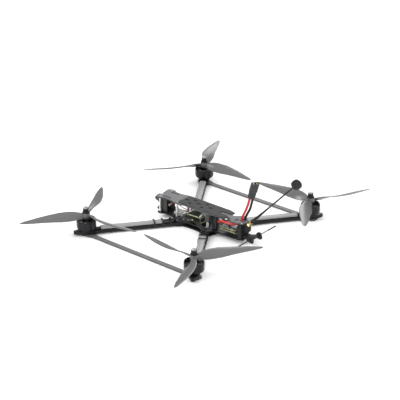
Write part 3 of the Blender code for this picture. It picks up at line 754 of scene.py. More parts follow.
def blade_section(reach, spin, span, root_z, tip_z, shape):
    share = max(0.0, (reach - SPAN_START) / (span - SPAN_START))
    chord = blade_chord(min(share, 0.999))
    thick = (3.2 - 2.4 * share) * MM
    twist = min(math.radians(42), math.atan2(PROP_PITCH, 2 * math.pi * reach))
    height = root_z + (tip_z - root_z) * share
    sweep = 2.5 * MM * math.sin(math.pi * min(1, share * 1.25)) - TIP_SWEEP * share**4
    ring = []
    for along, up in shape:
        forward, lift = along * chord * 0.99, (up - 0.25) * thick
        across = sweep + forward * math.cos(twist) - lift * math.sin(twist)
        z = height + forward * math.sin(twist) + lift * math.cos(twist)
        ring.append(Vector((reach, spin * across, z)))
    return ring


def make_propeller(name, palette):
    node = "propeller_" + name
    phase, span = first_blade(name)
    span += 0.3 * MM
    hub_low = low(node).z
    hub_top = low("prop_nut_" + name).z - 0.3 * MM
    root_z, tip_z = hub_top - 4.9 * MM, hub_top - 2.4 * MM
    shape = foil()
    bm = bmesh.new()
    stations = 44
    for i in range(3):
        rings = []
        for j in range(stations + 1):
            share = j / stations
            reach = BLADE_ROOT + (span - BLADE_ROOT) * (1 - (1 - share) ** 1.35)
            rings.append(blade_section(reach, TURNS[name], span, root_z, tip_z, shape))
        merge(bm, lofted(rings), Matrix.Rotation(phase + 2 * math.pi * i / 3, 4, "Z"))
    radius = 7.5 * MM
    hub = [(2.8 * MM, hub_low), (2.8 * MM, hub_top), (radius - 1.4 * MM, hub_top)]
    hub += [(radius - 0.3 * MM, hub_top - 0.4 * MM), (radius, hub_top - 1.4 * MM)]
    hub += [(radius, hub_low + 0.8 * MM), (radius - 0.5 * MM, hub_low)]
    merge(bm, lathe(hub, 48))
    shaped(
        "prop_" + name, bm, palette["prop"], "rotor_" + name, axis_of(name), 40, (node,)
    )


def make_nut(name, palette):
    """The flanged lock nut with chamfered corners, and its bright collar."""
    node = "prop_nut_" + name
    bottom, top = low(node).z, high(node).z
    flange, collar = bottom + 1.6 * MM, top - 2.2 * MM
    bm = lathe(
        [
            (2.8 * MM, bottom),
            (7.2 * MM, bottom),
            (7.2 * MM, bottom + 0.9 * MM),
            (6.4 * MM, flange + 0.2 * MM),
            (2.8 * MM, flange + 0.2 * MM),
        ]
    )
    hexagon = []
    for z, radius, roundness in (
        (flange, 5.3, 0.0),
        (flange + 0.5 * MM, 5.75, 0.0),
        (collar - 0.6 * MM, 5.75, 0.0),
        (collar, 5.1, 0.7),
    ):
        ring = []
        for i in range(48):
            a = 2 * math.pi * i / 48
            nearest = (a + math.pi / 6) % (math.pi / 3) - math.pi / 6
            flat = math.cos(math.pi / 6) / math.cos(nearest)
            size = radius * (flat * (1 - roundness) + min(flat, 0.93) * roundness)
            ring.append(Vector((size * MM * math.cos(a), size * MM * math.sin(a), z)))
        hexagon.append(ring)
    merge(bm, lofted(hexagon))
    axis = axis_of(name)
    rotor = "rotor_" + name
    shaped(node + "_body", bm, palette["black_metal"], rotor, axis, replaces=(node,))
    bright = [
        (2.6 * MM, collar), (4.5 * MM, collar), (4.5 * MM, top - 0.5 * MM), (4.0 * MM, top),
        (2.6 * MM, top),
    ]
    shaped(node + "_collar", lathe(bright), palette["steel"], rotor, axis)


# The outline of one window in a bell's crown: (radius in mm, angle from its middle line)
BELL_WINDOW = [(8.9, -0.30), (15.2, -0.36), (16.6, -0.26), (17.2, 0.0)]
BELL_WINDOW += [(16.6, 0.26), (15.2, 0.36), (8.9, 0.30), (8.3, 0.0)]


def make_bell(name, palette):
    """The turning can: windows through its crown, magnets inside, and the threaded shaft."""
    node = "motor_bell_" + name
    rim, shaft_top = low("motor_base_" + name).z + 5.5 * MM, high(node).z
    crown = low("propeller_" + name).z - 0.3 * MM
    radius = (high(node).x - low(node).x) / 2
    wall, inner = 1.2 * MM, crown - 2.4 * MM
    profile = [(2.6 * MM, crown + 0.25 * MM), (7.4 * MM, crown + 0.25 * MM), (7.8 * MM, crown)]
    profile += [
        (14.4 * MM, crown), (radius - 1.6 * MM, crown - 0.8 * MM),
        (radius - 0.5 * MM, crown - 2.1 * MM),
    ]
    profile += [
        (radius, crown - 3.4 * MM), (radius, crown - 5.0 * MM),
        (radius - 0.25 * MM, crown - 5.2 * MM),
    ]
    profile += [
        (radius - 0.25 * MM, crown - 5.7 * MM), (radius, crown - 5.9 * MM),
        (radius, rim + 3.0 * MM),
    ]
    profile += [(radius - 0.5 * MM, rim + 1.2 * MM), (radius - 0.9 * MM, rim), (radius - wall, rim)]
    profile += [(radius - wall, inner - 2 * MM), (radius - 4 * MM, inner), (4.5 * MM, inner)]
    profile += [(2.6 * MM, inner - 1.5 * MM)]
    rotor, axis = "rotor_" + name, axis_of(name)
    bell = shaped(node + "_can", lathe(profile, 96), palette["bell"], rotor, axis, 28, (node,))

    windows = bmesh.new()
    for i in range(6):
        turn = math.pi * (2 * i + 1) / 6
        outline = [
            Vector((r * MM * math.cos(turn + a), r * MM * math.sin(turn + a), 0))
            for r, a in BELL_WINDOW
        ]
        rings = [[p + Vector((0, 0, z)) for p in outline] for z in (inner - 3 * MM, crown + 2 * MM)]
        merge(windows, lofted(rings))
    mesh = bpy.data.meshes.new("windows_" + name)
    windows.to_mesh(mesh)
    windows.free()
    cutter = bpy.data.objects.new("windows_" + name, mesh)
    cutter.location = axis
    bpy.context.scene.collection.objects.link(cutter)
    cut = bell.modifiers.new("windows", "BOOLEAN")
    cut.operation = "DIFFERENCE"
    cut.object = cutter
    graph = bpy.context.evaluated_depsgraph_get()
    opened = bpy.data.meshes.new_from_object(bell.evaluated_get(graph))
    bell.modifiers.clear()
    bell.data = opened
    bpy.data.objects.remove(cutter)
    soften(bell, 0.15 * MM, 1)

    thread = [(0, shaft_top), (2.0 * MM, shaft_top), (2.45 * MM, shaft_top - 0.5 * MM)]
    z = shaft_top - 0.7 * MM
    while z > crown + 10.5 * MM:
        thread += [(2.2 * MM, z), (2.5 * MM, z - 0.4 * MM)]
        z -= 0.8 * MM
    thread += [(2.5 * MM, rim - 4 * MM), (0, rim - 4 * MM)]
    shaped(node + "_shaft", lathe(thread, 32), palette["steel"], rotor, axis)

    magnets = bmesh.new()
    count = 14
    for i in range(count):
        slab = block((0.9 * MM, 6.4 * MM, 14 * MM), 0.2 * MM, 1)
        place = Matrix.Rotation(2 * math.pi * i / count, 4, "Z") @ at(
            radius - 1.9 * MM, 0, rim + 8.2 * MM,
        )
        merge(magnets, slab, place)
    shaped(node + "_magnets", magnets, palette["magnet"], rotor, axis)


def make_base(name, palette):
    """The motor's foot on the arm, with the laminated core and its twelve coils."""
    node = "motor_base_" + name
    foot = low(node).z
    axis = axis_of(name)
    turn = arm_place(name)[0].to_euler().z
    bm = lathe(
        [
            (2.8 * MM, foot),
            (11.2 * MM, foot),
            (12.0 * MM, foot + 0.8 * MM),
            (12.0 * MM, foot + 3.2 * MM),
            (10.5 * MM, foot + 5.0 * MM),
            (7.8 * MM, foot + 5.3 * MM),
            (7.8 * MM, foot + 7.6 * MM),
            (2.8 * MM, foot + 7.6 * MM),
        ],
        64,
    )
    for i in range(4):
        lug = Matrix.Rotation(turn + math.pi * (2 * i + 1) / 4, 4, "Z")
        merge(
            bm, block((6.6 * MM, 6.4 * MM, 3.0 * MM), 0.7 * MM),
            lug @ at(9.9 * MM, 0, foot + 1.55 * MM),
        )
    shaped(node + "_foot", bm, palette["bell"], AIRFRAME, axis, replaces=(node,))

    core, coils = bmesh.new(), bmesh.new()
    bottom, top = foot + 8 * MM, foot + 20 * MM
    merge(core, lathe([(2.9 * MM, bottom), (6 * MM, bottom), (6 * MM, top), (2.9 * MM, top)], 32))
    for i in range(12):
        spoke = Matrix.Rotation(2 * math.pi * i / 12, 4, "Z")
        tooth = block((1.0 * MM, 6.9 * MM, 11.5 * MM), 0.2 * MM, 1)
        coil = block((7.2 * MM, 4.0 * MM, 13.0 * MM), 1.2 * MM, 3)
        merge(core, tooth, spoke @ at(14.9 * MM, 0, foot + 14 * MM))
        merge(coils, coil, spoke @ at(10.5 * MM, 0, foot + 14 * MM))
    shaped(node + "_core", core, palette["steel"], AIRFRAME, axis)
    shaped(node + "_coils", coils, palette["copper"], AIRFRAME, axis)


def make_motor_screws(palette):
    """The heads, under the arm, of the four screws through each motor's foot."""
    circle, height = 9.5 * MM, 1.4 * MM
    bm = bmesh.new()
    for name in MOTOR_NAMES:
        axis = axis_of(name)
        turn = arm_place(name)[0].to_euler().z
        for i in range(4):
            a = turn + math.pi * (2 * i + 1) / 4
            x, y = axis.x + circle * math.cos(a), axis.y + circle * math.sin(a)
            under = 0.15 * MM if abs(math.cos(a)) < abs(math.sin(a)) else ARM_BOTTOM - height
            place = Matrix.Translation((x, y, under + height)) @ Matrix.Rotation(math.pi, 4, "X")
            merge(bm, screw_head(2.7 * MM, height), place)
    shaped("motor_screws", bm, palette["black_metal"], AIRFRAME)


def make_motors(palette):
    for name in MOTOR_NAMES:
        make_propeller(name, palette)
        make_nut(name, palette)
        make_bell(name, palette)
        make_base(name, palette)
    make_motor_screws(palette)


# ---------------------------------------------------------------- arms and wires


def arm_place(name):
    """The frame of an arm: X runs out along it from its root, and its reach to the motor."""
    axis = axis_of(name)
    root = Vector((0, math.copysign(ARM_ROOT_Y, axis.y), 0))
    run = axis - root
    return at(*root, math.atan2(run.y, run.x)), run.length


def band(width, height, length):
    """A cable tie round a rounded box: its strap is a thin loop across X."""
    thick = 0.7 * MM
    rings = []
    for x, grow in ((-length / 2, 0), (-length / 2, thick), (length / 2, thick), (length / 2, 0)):
        ring = []
        for i in range(32):
            a = 2 * math.pi * i / 32
            c, s = math.cos(a), math.sin(a)
            reach = (abs(c) ** 6 + abs(s) ** 6) ** (-1 / 6)
            ring.append(Vector((x, (width / 2 + grow) * reach * c, (height / 2 + grow) * reach * s)))
        rings.append(ring)
    return lofted(rings, closed=True)


WIRE_ACROSS = (-3.2 * MM, 0.0, 3.2 * MM)


def sleeve_ring(x, width, height, base, swell):
    """A flat rounded section across the arm, bulging at the top where it lies over the wires."""
    ring = []
    for j in range(28):
        a = 2 * math.pi * j / 28
        c, s = math.cos(a), math.sin(a)
        size = (abs(c) ** 3.2 + abs(s) ** 3.2) ** (-1 / 3.2)
        lift = 0.35 * MM * math.cos(3 * math.pi * size * c) if s > 0.3 else 0
        across = width / 2 * size * c * swell
        up = base + height / 2 * (1 + size * s * swell) + lift
        ring.append(Vector((x, across, up)))
    return ring


def make_arm_wires(name, palette):
    """Three wires along the arm: a black sleeve near the body, and tape out to the motor, whose light
    grey colour is a painted sheen.
    """
    turn, reach = arm_place(name)
    base = ARM_TOP + 0.3 * MM
    start, join, end = 39.4 * MM, 62.0 * MM, reach - 27.2 * MM
    rng = random.Random("tape " + name)
    node = "motor_wires_" + name
    for kind, first, last, width, height, surface, replaces in (
        # The tape section's light grey material is a painted sheen
        ("tape", join - 2 * MM, end, 12.6 * MM, 4.9 * MM, "tape", (node,)),
        ("sleeve", start, join, 11.8 * MM, 4.4 * MM, "sleeve", ()),
    ):
        steps = round((last - first) / (2 * MM))
        rings = []
        for i in range(steps + 1):
            x = first + (last - first) * i / steps
            swell = 1 + 0.012 * math.sin(i * 0.9) + rng.uniform(-0.006, 0.006)
            rings.append(sleeve_ring(x, width, height, base, swell))
        skin = lofted(rings)
        skin.transform(turn)
        shaped(
            node + "_" + kind, skin, palette[surface], AIRFRAME, replaces=replaces,
            sharp=50,
        )

    wires = bmesh.new()
    for y in WIRE_ACROSS:
        line = [(end - 4 * MM, y, base + 2.3 * MM), (end + 3 * MM, y * 0.95, base + 2.0 * MM)]
        line += [(end + 9 * MM, y * 0.85, base + 1.8 * MM), (reach - 12 * MM, y * 0.7, base + 1.9 * MM)]
        merge(wires, tube(smooth_route([Vector(p) for p in line], 2 * MM), 1.3 * MM, 12))
    wires.transform(turn)
    shaped(node + "_ends", wires, palette["black"], AIRFRAME)

    ties = bmesh.new()
    for x in (start + 4.5 * MM, start + 20 * MM, start + 36 * MM):
        merge(ties, band(15.8 * MM, 12.4 * MM, 2.6 * MM), at(x, 0, ARM_BOTTOM + 5.9 * MM))
        merge(ties, block((3.6 * MM, 3.2 * MM, 2.4 * MM), 0.4 * MM), at(x, 7.4 * MM, base + 1.2 * MM))
    ties.transform(turn)
    shaped(node + "_ties", ties, palette["tie"], AIRFRAME)


def make_arms(palette):
    for name in MOTOR_NAMES:
        dress("arm_" + name, palette["carbon"], 0.35 * MM)
        make_arm_wires(name, palette)
    for side in ("left", "right"):
        # The braces get the lighter carbon copy, a painted sheen on their tops
        dress("side_brace_" + side, palette["brace"], 0.3 * MM)


# ---------------------------------------------------------------- body


ARM_BOLTS = (17.2 * MM, 30.7 * MM)  # along each arm from its root
NOSE_SLOTS = [(x, y) for x in (-11.3, 11.3) for y in (66.2, 72.8, 79.3)]


def make_plates(palette):
    dress("belly_plate", palette["carbon"], 0.25 * MM)
    dress("middle_plate", palette["carbon"], 0.25 * MM)
    # The top plate gets the lighter carbon copy, a painted sheen of the sky
    dress("top_plate", palette["deck"], 0.3 * MM)
    dress("battery_pad", palette["pad"], 0.3 * MM)
    screws = bmesh.new()
    for node in frame["nodes"]:
        if not node.startswith("standoff_"):
            continue
        centre = middle(node)
        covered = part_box("battery_pad")
        inside = covered[0][1] < centre.y < covered[1][1] and abs(centre.x) < covered[1][0]
        if not inside:
            merge(screws, screw_head(2.8 * MM, 1.6 * MM), at(centre.x, centre.y, ROOF_TOP + 0.02 * MM))
    for name in MOTOR_NAMES:
        turn, _ = arm_place(name)
        for reach in ARM_BOLTS:
            merge(screws, screw_head(2.7 * MM, 1.5 * MM), turn @ at(reach, 0, DECK + 0.02 * MM))
    for x in (-9.0 * MM, 9.0 * MM):
        merge(screws, screw_head(2.7 * MM, 1.5 * MM), at(x, -113.4 * MM, ROOF_TOP + 0.02 * MM))
    # Stand-ins, painted shade: the plate's own slots are too small to read as dark, so a black block
    # covers each in place of the shade inside it
    shade_blocks = bmesh.new()
    for x, y in NOSE_SLOTS:
        plug = block((4.4 * MM, 4.2 * MM, 0.6 * MM), 0.25 * MM)
        merge(shade_blocks, plug, at(x * MM, y * MM, ROOF_TOP + 0.2 * MM))
    shaped("slot_painted_shade", shade_blocks, palette["black"], AIRFRAME)
    shaped("plate_screws", screws, palette["steel"], AIRFRAME)


def make_standoffs(palette):
    for node in [n for n in frame["nodes"] if n.startswith("standoff_")]:
        centre, bottom, top = middle(node), low(node).z, high(node).z
        radius = 2.5 * MM
        profile = [
            (1.3 * MM, bottom), (1.3 * MM, top), (radius - 0.4 * MM, top), (radius, top - 0.4 * MM),
        ]
        for groove in (top - 5 * MM, bottom + 6.6 * MM):
            profile += [(radius, groove), (radius - 0.35 * MM, groove - 0.3 * MM)]
            profile += [(radius - 0.35 * MM, groove - 1.3 * MM), (radius, groove - 1.6 * MM)]
        profile += [(radius, bottom + 0.4 * MM), (radius - 0.4 * MM, bottom)]
        where = Vector((centre.x, centre.y, 0))
        shaped(
            node + "_post", lathe(profile, 32), palette["aluminium"], AIRFRAME, where,
            replaces=(node,),
        )


# The side of the camera guard, forward and up: a horn over the lens and another one under it
CAMERA_GUARD = [
    (74, 11.7), (97.5, 11.7), (99.2, 13.0), (99.0, 15.2), (96.5, 18.2), (94.2, 21.6), (93.6, 25.0),
]
CAMERA_GUARD += [(94.6, 28.0), (97.5, 29.4), (101.6, 29.6), (104.0, 31.2), (104.6, 33.8), (103.6, 36.6)]
CAMERA_GUARD += [(100.8, 39.0), (96.5, 40.3), (74, 40.3)]


def make_nose_camera(palette):
    """The camera: housing in two halves, ringed lens barrel with its glass, and its side screws."""
    for name in ("left", "right"):
        node = "camera_plate_" + name
        rings = [[Vector((x, y, z)) * MM for y, z in CAMERA_GUARD] for x in (0.0, 2.6)]
        guard = lofted(rings)
        inner = low(node).x - 0.6 * MM if name == "left" else low(node).x
        piece = shaped(
            node + "_guard", guard, palette["guard"], AIRFRAME, (inner, 0, 0), 50,
            (node,),
        )
        soften(piece, 0.5 * MM, 3)
    size = high("camera_body") - low("camera_body")
    centre = middle("camera_body")
    bm = bmesh.new()
    merge(bm, block((size.x, size.y * 0.60, size.z), 1.3 * MM, 3), at(0, size.y * 0.19, 0))
    merge(
        bm, block((size.x * 0.95, size.y * 0.42, size.z * 0.95), 1.0 * MM, 3),
        at(0, -size.y * 0.27, 0),
    )
    shaped("camera_housing", bm, palette["shell"], "camera", centre, replaces=("camera_body",))

    nose = low("camera_lens").y
    length = high("camera_lens").y - nose
    profile = [
        (0, 0), (6.1 * MM, 0), (6.1 * MM, 1.6 * MM), (5.7 * MM, 2.0 * MM), (5.7 * MM, 2.6 * MM),
        (6.1 * MM, 3.0 * MM),
    ]
    profile += [
        (6.1 * MM, 5.0 * MM), (5.6 * MM, 5.6 * MM), (5.6 * MM, length - 0.6 * MM),
        (5.2 * MM, length),
    ]
    profile += [(4.5 * MM, length), (4.2 * MM, length - 1.4 * MM), (0, length - 1.4 * MM)]
    forward = Matrix.Translation((0, nose, centre.z)) @ Matrix.Rotation(-math.pi / 2, 4, "X")
    bm = lathe(profile, 48)
    bm.transform(forward)
    shaped("camera_barrel", bm, palette["chip"], "camera", replaces=("camera_lens",))
    glass = [(4.1 * MM, length - 1.5 * MM), (4.1 * MM, length - 1.3 * MM), (3.0 * MM, length - 0.7 * MM)]
    glass = [(0, length - 1.5 * MM)] + glass + [(1.5 * MM, length - 0.45 * MM), (0, length - 0.4 * MM)]
    bm = lathe(glass, 48)
    bm.transform(forward)
    shaped("camera_glass", bm, palette["glass"], "camera")

    pins = bmesh.new()
    reach = high("camera_plate_right").x
    for side in (-1, 1):
        head = Matrix.Translation((side * (reach + 0.05 * MM), CAMERA_PIVOT.y, CAMERA_PIVOT.z))
        merge(pins, screw_head(2.2 * MM, 1.2 * MM), head @ Matrix.Rotation(side * math.pi / 2, 4, "Y"))
    shaped("camera_screws", pins, palette["steel"], "camera")
    socket = block((8 * MM, 2.6 * MM, 3.4 * MM), 0.3 * MM)
    socket.transform(at(0, centre.y - size.y / 2 - 1.0 * MM, centre.z - 3 * MM))
    shaped("camera_socket", socket, palette["cream"], "camera")


SCREW_OFFSET = 15.25 * MM  # half the spacing of the stack's four screws
CHIP_GAP = 0.4 * MM


def scatter_chips(bm, rng, node, count, tallest, side=1):
    """Small square packages over a board, kept clear of its screws and of each other."""
    lo, hi = low(node), high(node)
    placed = []
    tries = 0
    while len(placed) < count and tries < 900:
        tries += 1
        w, d = rng.choice(((2.0, 1.2), (3.0, 3.0), (1.2, 2.0), (4.0, 3.2), (1.6, 1.6)))
        w, d = w * MM, d * MM
        x = rng.uniform(lo.x + w, hi.x - w)
        y = rng.uniform(lo.y + d, hi.y - d)
        near_screw = all(abs(abs(c) - SCREW_OFFSET) < 4 * MM for c in (x, y))
        crowded = any(
            abs(x - a) < (w + c) / 2 + CHIP_GAP and abs(y - b) < (d + e) / 2 + CHIP_GAP
            for a, b, c, e in placed
        )
        if near_screw or crowded:
            continue
        placed.append((x, y, w, d))
        tall = rng.uniform(0.5, 1.0) * tallest
        z = hi.z + tall / 2 if side > 0 else lo.z - tall / 2
        merge(bm, block((w, d, tall), 0.12 * MM, 1), at(x, y, z))


def make_stack(palette):
    """Flight controller over speed controller, on four screws with rubber grommets."""
    rng = random.Random(11)
    for node in ("flight_controller", "esc_board"):
        dress(node, palette["board"], 0.15 * MM)
    chips = bmesh.new()
    scatter_chips(chips, rng, "flight_controller", 40, 1.0 * MM)
    scatter_chips(chips, rng, "esc_board", 30, 1.2 * MM)
    scatter_chips(chips, rng, "esc_board", 26, 0.9 * MM, -1)
    fc, esc = high("flight_controller"), high("esc_board")
    merge(chips, block((8 * MM, 8 * MM, 1.1 * MM), 0.15 * MM), at(1 * MM, 2 * MM, fc.z + 0.55 * MM))
    for side in (-1, 1):
        for i in range(6):
            x = side * (esc.x - 4.5 * MM)
            merge(
                chips, block((5.2 * MM, 3.6 * MM, 1.1 * MM), 0.15 * MM),
                at(x, (i - 2.5) * 4.4 * MM, esc.z + 0.6 * MM),
            )
    shaped("board_chips", chips, palette["chip"], AIRFRAME)

    solder = bmesh.new()
    for side in (-1, 1):
        for i in range(6):
            x, y = side * (esc.x - 1.4 * MM), (i - 2.5) * 5.0 * MM
            drop = lathe(
                [(0, 0), (1.4 * MM, 0), (1.2 * MM, 0.5 * MM), (0.6 * MM, 1.0 * MM), (0, 1.1 * MM)],
                16,
            )
            merge(solder, drop, at(x, y, esc.z + 0.02 * MM))
        for i in range(10):
            x, y = side * (fc.x - 1.2 * MM), (i - 4.5) * 2.3 * MM
            drop = lathe([(0, 0), (0.75 * MM, 0), (0.5 * MM, 0.4 * MM), (0, 0.5 * MM)], 12)
            merge(solder, drop, at(x, y, fc.z + 0.02 * MM))
    outline = [(0, 0), (2.2, 0), (2.2, 1), (1.9, 1.3), (2.2, 1.6), (2.2, 7.4), (1.8, 8), (0, 8)]
    can = lathe([(radius * MM, height * MM) for radius, height in outline], 24)
    start = (-16.5 * MM, -17.5 * MM, fc.z + 2.4 * MM)
    end = (-10.5 * MM, -17.5 * MM, fc.z + 6.6 * MM)
    can.transform(standing(start, end))
    shaped("board_can", can, palette["aluminium"], AIRFRAME)
    shaped("board_solder", solder, palette["solder"], AIRFRAME)

    sockets = bmesh.new()
    for x, y, turn in ((0, 15.6, 0), (-9, 15.6, 0), (9.2, 15.6, 0), (0, -15.6, 0)):
        merge(
            sockets, block((6.4 * MM, 3.6 * MM, 2.6 * MM), 0.25 * MM),
            at(x * MM, y * MM, fc.z + 1.35 * MM, turn),
        )
    shaped("board_sockets", sockets, palette["cream"], AIRFRAME)

    grommets = bmesh.new()
    for letter in "abcd":
        node = "stack_screw_" + letter
        centre, top, bottom = middle(node), high(node).z, low(node).z
        profile = [
            (0, bottom), (1.4 * MM, bottom), (1.4 * MM, top - 2.2 * MM), (2.6 * MM, top - 2.2 * MM),
        ]
        profile += [
            (2.6 * MM, top - 0.8 * MM), (1.9 * MM, top), (1.0 * MM, top), (1.0 * MM, top - 1 * MM),
            (0, top - 1 * MM),
        ]
        shaped(
            node + "_bolt", lathe(profile, 24), palette["steel"], AIRFRAME,
            (centre.x, centre.y, 0), replaces=(node,),
        )
        for board in ("flight_controller", "esc_board"):
            for z in (low(board).z - 0.9 * MM, high(board).z + 0.1 * MM):
                ring = [
                    (1.5 * MM, z), (2.7 * MM, z), (2.9 * MM, z + 0.4 * MM),
                    (2.7 * MM, z + 0.8 * MM), (1.5 * MM, z + 0.8 * MM),
                ]
                merge(grommets, lathe(ring, 20), at(centre.x, centre.y, 0))
    shaped("stack_grommets", grommets, palette["black"], AIRFRAME)


def make_loose_wires(palette):
    """Short leads inside the frame: motor phases, camera, video and the antenna's coax."""
    esc = high("esc_board")
    phases = bmesh.new()
    for name in MOTOR_NAMES:
        turn, _ = arm_place(name)
        side, front = (math.copysign(1, c) for c in axis_of(name).to_2d())
        for i, y in enumerate(WIRE_ACROSS):
            spread = -side * front * y
            mouth = turn @ Vector((42 * MM, y * 0.9, ARM_TOP + 2.5 * MM))
            lead_in = turn @ Vector((37 * MM, y * 0.9, ARM_TOP + 4.2 * MM))
            pad = Vector((side * (esc.x - 1.4 * MM), front * (5.0 + 4.6 * i) * MM, esc.z + 1.0 * MM))
            out = pad + Vector((side * 6.2 * MM, front * 1.6 * MM, (1.6 + 0.5 * i) * MM))
            over = out.lerp(lead_in, 0.55) + Vector((side * 1.6 * MM, spread * 0.2, 2.2 * MM))
            route = smooth_route([pad, out, over, lead_in, mouth], 1.5 * MM)
            merge(phases, tube(route, 1.45 * MM, 12))
    shaped("phase_wires", phases, palette["black"], AIRFRAME)

    route = [(-3, 72.6, 23), (-4.6, 68.5, 27.5), (-7.6, 57, 35.5), (-8, 47, 34.4), (-8, 34, 30.6)]
    camera = wire(route + [(-7.5, 21, 29.4), (-6.5, 16.5, 29.8)], 0.65 * MM, 8)
    shaped("camera_cable", camera, palette["red"], AIRFRAME)
    video = bmesh.new()
    for i in range(4):
        x = -1.8 + 1.2 * i
        route = [(x, -17, 30), (x, -24, 33), (x + 1, -40, 34), (x + 2, -56, 31), (x + 2, -63, 28.5)]
        merge(video, wire(route, 0.5 * MM, 6))
    shaped("video_cable", video, palette["black"], AIRFRAME)
    coax = wire([(6, -72, 29), (8, -80, 33), (7, -92, 33), (4, -100, 27), (1, -103.2, 24)], 0.75 * MM, 8)
    shaped("antenna_coax", coax, palette["black"], AIRFRAME)


def make_boxes(palette):
    """The video transmitter with its finned cooler, the wrapped receiver and the capacitor."""
    node = "video_transmitter"
    lo, hi = low(node), high(node)
    centre, size = (lo + hi) / 2, hi - lo
    boards = bmesh.new()
    for z in (lo.z + 1.0 * MM, lo.z + 6.2 * MM):
        merge(boards, block((size.x, size.y, 1.2 * MM), 0.2 * MM), at(0, centre.y, z))
    shaped("transmitter_boards", boards, palette["board"], AIRFRAME, replaces=(node,))
    cans = bmesh.new()
    merge(
        cans, block((15 * MM, 13 * MM, 2.6 * MM), 0.3 * MM),
        at(-3 * MM, centre.y + 9 * MM, lo.z + 8.1 * MM),
    )
    merge(
        cans, block((17 * MM, 14 * MM, 2.2 * MM), 0.3 * MM),
        at(2 * MM, centre.y - 9 * MM, lo.z + 7.9 * MM),
    )
    for i in range(9):
        merge(
            cans, block((0.8 * MM, size.y * 0.72, 3.0 * MM), 0.15 * MM, 1),
            at((i - 4) * 2.4 * MM, centre.y, lo.z + 3.6 * MM),
        )
    shaped("transmitter_cans", cans, palette["solder"], AIRFRAME)
    parts = bmesh.new()
    rng = random.Random(5)
    for i in range(34):
        x = rng.choice((-1, 1)) * rng.uniform(size.x * 0.36, size.x * 0.46)
        y = centre.y + (i / 33 - 0.5) * size.y * 0.9
        merge(
            parts, block((1.6 * MM, 0.9 * MM, 0.9 * MM), 0.1 * MM, 1),
            at(x, y, lo.z + rng.choice((2.0, 7.2)) * MM),
        )
    shaped("transmitter_parts", parts, palette["cream"], AIRFRAME)

    node = "receiver"
    lo, hi = low(node), high(node)
    centre, size = (lo + hi) / 2, hi - lo
    rings = []
    rng = random.Random(3)
    for i in range(13):
        share = i / 12
        pinch = 1 - 0.16 * abs(2 * share - 1) ** 6
        ring = []
        for j in range(28):
            a = 2 * math.pi * j / 28
            c, s = math.cos(a), math.sin(a)
            reach = (abs(c) ** 5 + abs(s) ** 5) ** (-1 / 5) * pinch * (1 + rng.uniform(-0.008, 0.0))
            across = centre.x + size.x / 2 * reach * c * 0.97
            up = centre.z + size.z / 2 * reach * s * 0.96
            ring.append(Vector((across, lo.y + size.y * share, up)))
        rings.append(ring)
    shaped("receiver_wrap", lofted(rings), palette["wrap"], AIRFRAME, sharp=50, replaces=(node,))

    node = "capacitor"
    lo, hi = low(node), high(node)
    radius, top, bottom = (hi.x - lo.x) / 2, hi.z, lo.z
    profile = [
        (0, bottom), (radius - 1 * MM, bottom), (radius - 0.2 * MM, bottom + 0.5 * MM),
        (radius - 0.1 * MM, bottom + 1.6 * MM),
    ]
    profile += [
        (radius - 0.8 * MM, bottom + 2.3 * MM), (radius - 0.1 * MM, bottom + 3.0 * MM),
        (radius - 0.1 * MM, top - 0.5 * MM),
    ]
    profile += [(radius - 0.8 * MM, top), (radius - 1.6 * MM, top - 0.1 * MM), (0, top - 0.3 * MM)]
    place = ((lo.x + hi.x) / 2, (lo.y + hi.y) / 2, 0)
    shaped(
        "capacitor_can", lathe(profile, 48), palette["sleeve"], AIRFRAME, place,
        replaces=(node,),
    )


# ---------------------------------------------------------------- tail


def make_tail(palette):
    dress("rear_mount", palette["tpu"], 0.5 * MM)
    dress("antenna_holder", palette["tpu"], 0.45 * MM)
    for colour, slot in (("red", "red_silicone"), ("black", "black_silicone")):
        dress("inner_lead_" + colour, palette[colour])
    # Stand-ins: a dark loop on the tail plate, and a dark module beside the middle standoff
    arch = [(-9.2, -96, 42.6), (-8.8, -96.6, 45.2), (-6, -97.4, 46.0)]
    arch += [(-3.2, -98.2, 45.2), (-2.8, -98.8, 42.6)]
    shaped("tail_tie", wire(arch, 0.7 * MM, 8), palette["tie"], AIRFRAME)
    module = block((11.5 * MM, 9 * MM, 13.5 * MM), 1.2 * MM, 3)
    post = middle("standoff_middle_left")
    module.transform(at(post.x - 0.6 * MM, post.y - 2.4 * MM, ROOF - 7.4 * MM, 0.1))
    shaped("edge_module", module, palette["guard"], AIRFRAME)
    make_antenna_socket(palette)
    make_video_antenna(palette)
    make_receiver_antenna(palette)


ANTENNA_WAY = Vector((0.0, -106.4, 107.9)).normalized()


def made_along(name, profile, start, surface, steps=32, replaces=()):
    bm = lathe(profile, steps)
    bm.transform(standing(start, Vector(start) + ANTENNA_WAY))
    return shaped(name, bm, surface, AIRFRAME, replaces=replaces)


def make_antenna_socket(palette):
    """Gold socket with its thread, and the knurled nut of the antenna's plug."""
    start = Vector((0.0, -119.5, 37.9)) * MM
    barrel, nut = 2.5 * MM, 3.2 * MM
    profile = [(0, 0), (nut, 0), (nut, 1.4 * MM), (barrel, 1.6 * MM)]
    for i in range(5):
        profile += [(barrel, (2.0 + 0.8 * i) * MM), (barrel - 0.3 * MM, (2.4 + 0.8 * i) * MM)]
    profile += [
        (barrel, 6.2 * MM), (nut, 6.4 * MM), (nut, 11.4 * MM), (barrel, 11.9 * MM), (0, 11.9 * MM),
    ]
    made_along("socket_gold", profile, start, palette["gold"], 32, ("antenna_socket",))


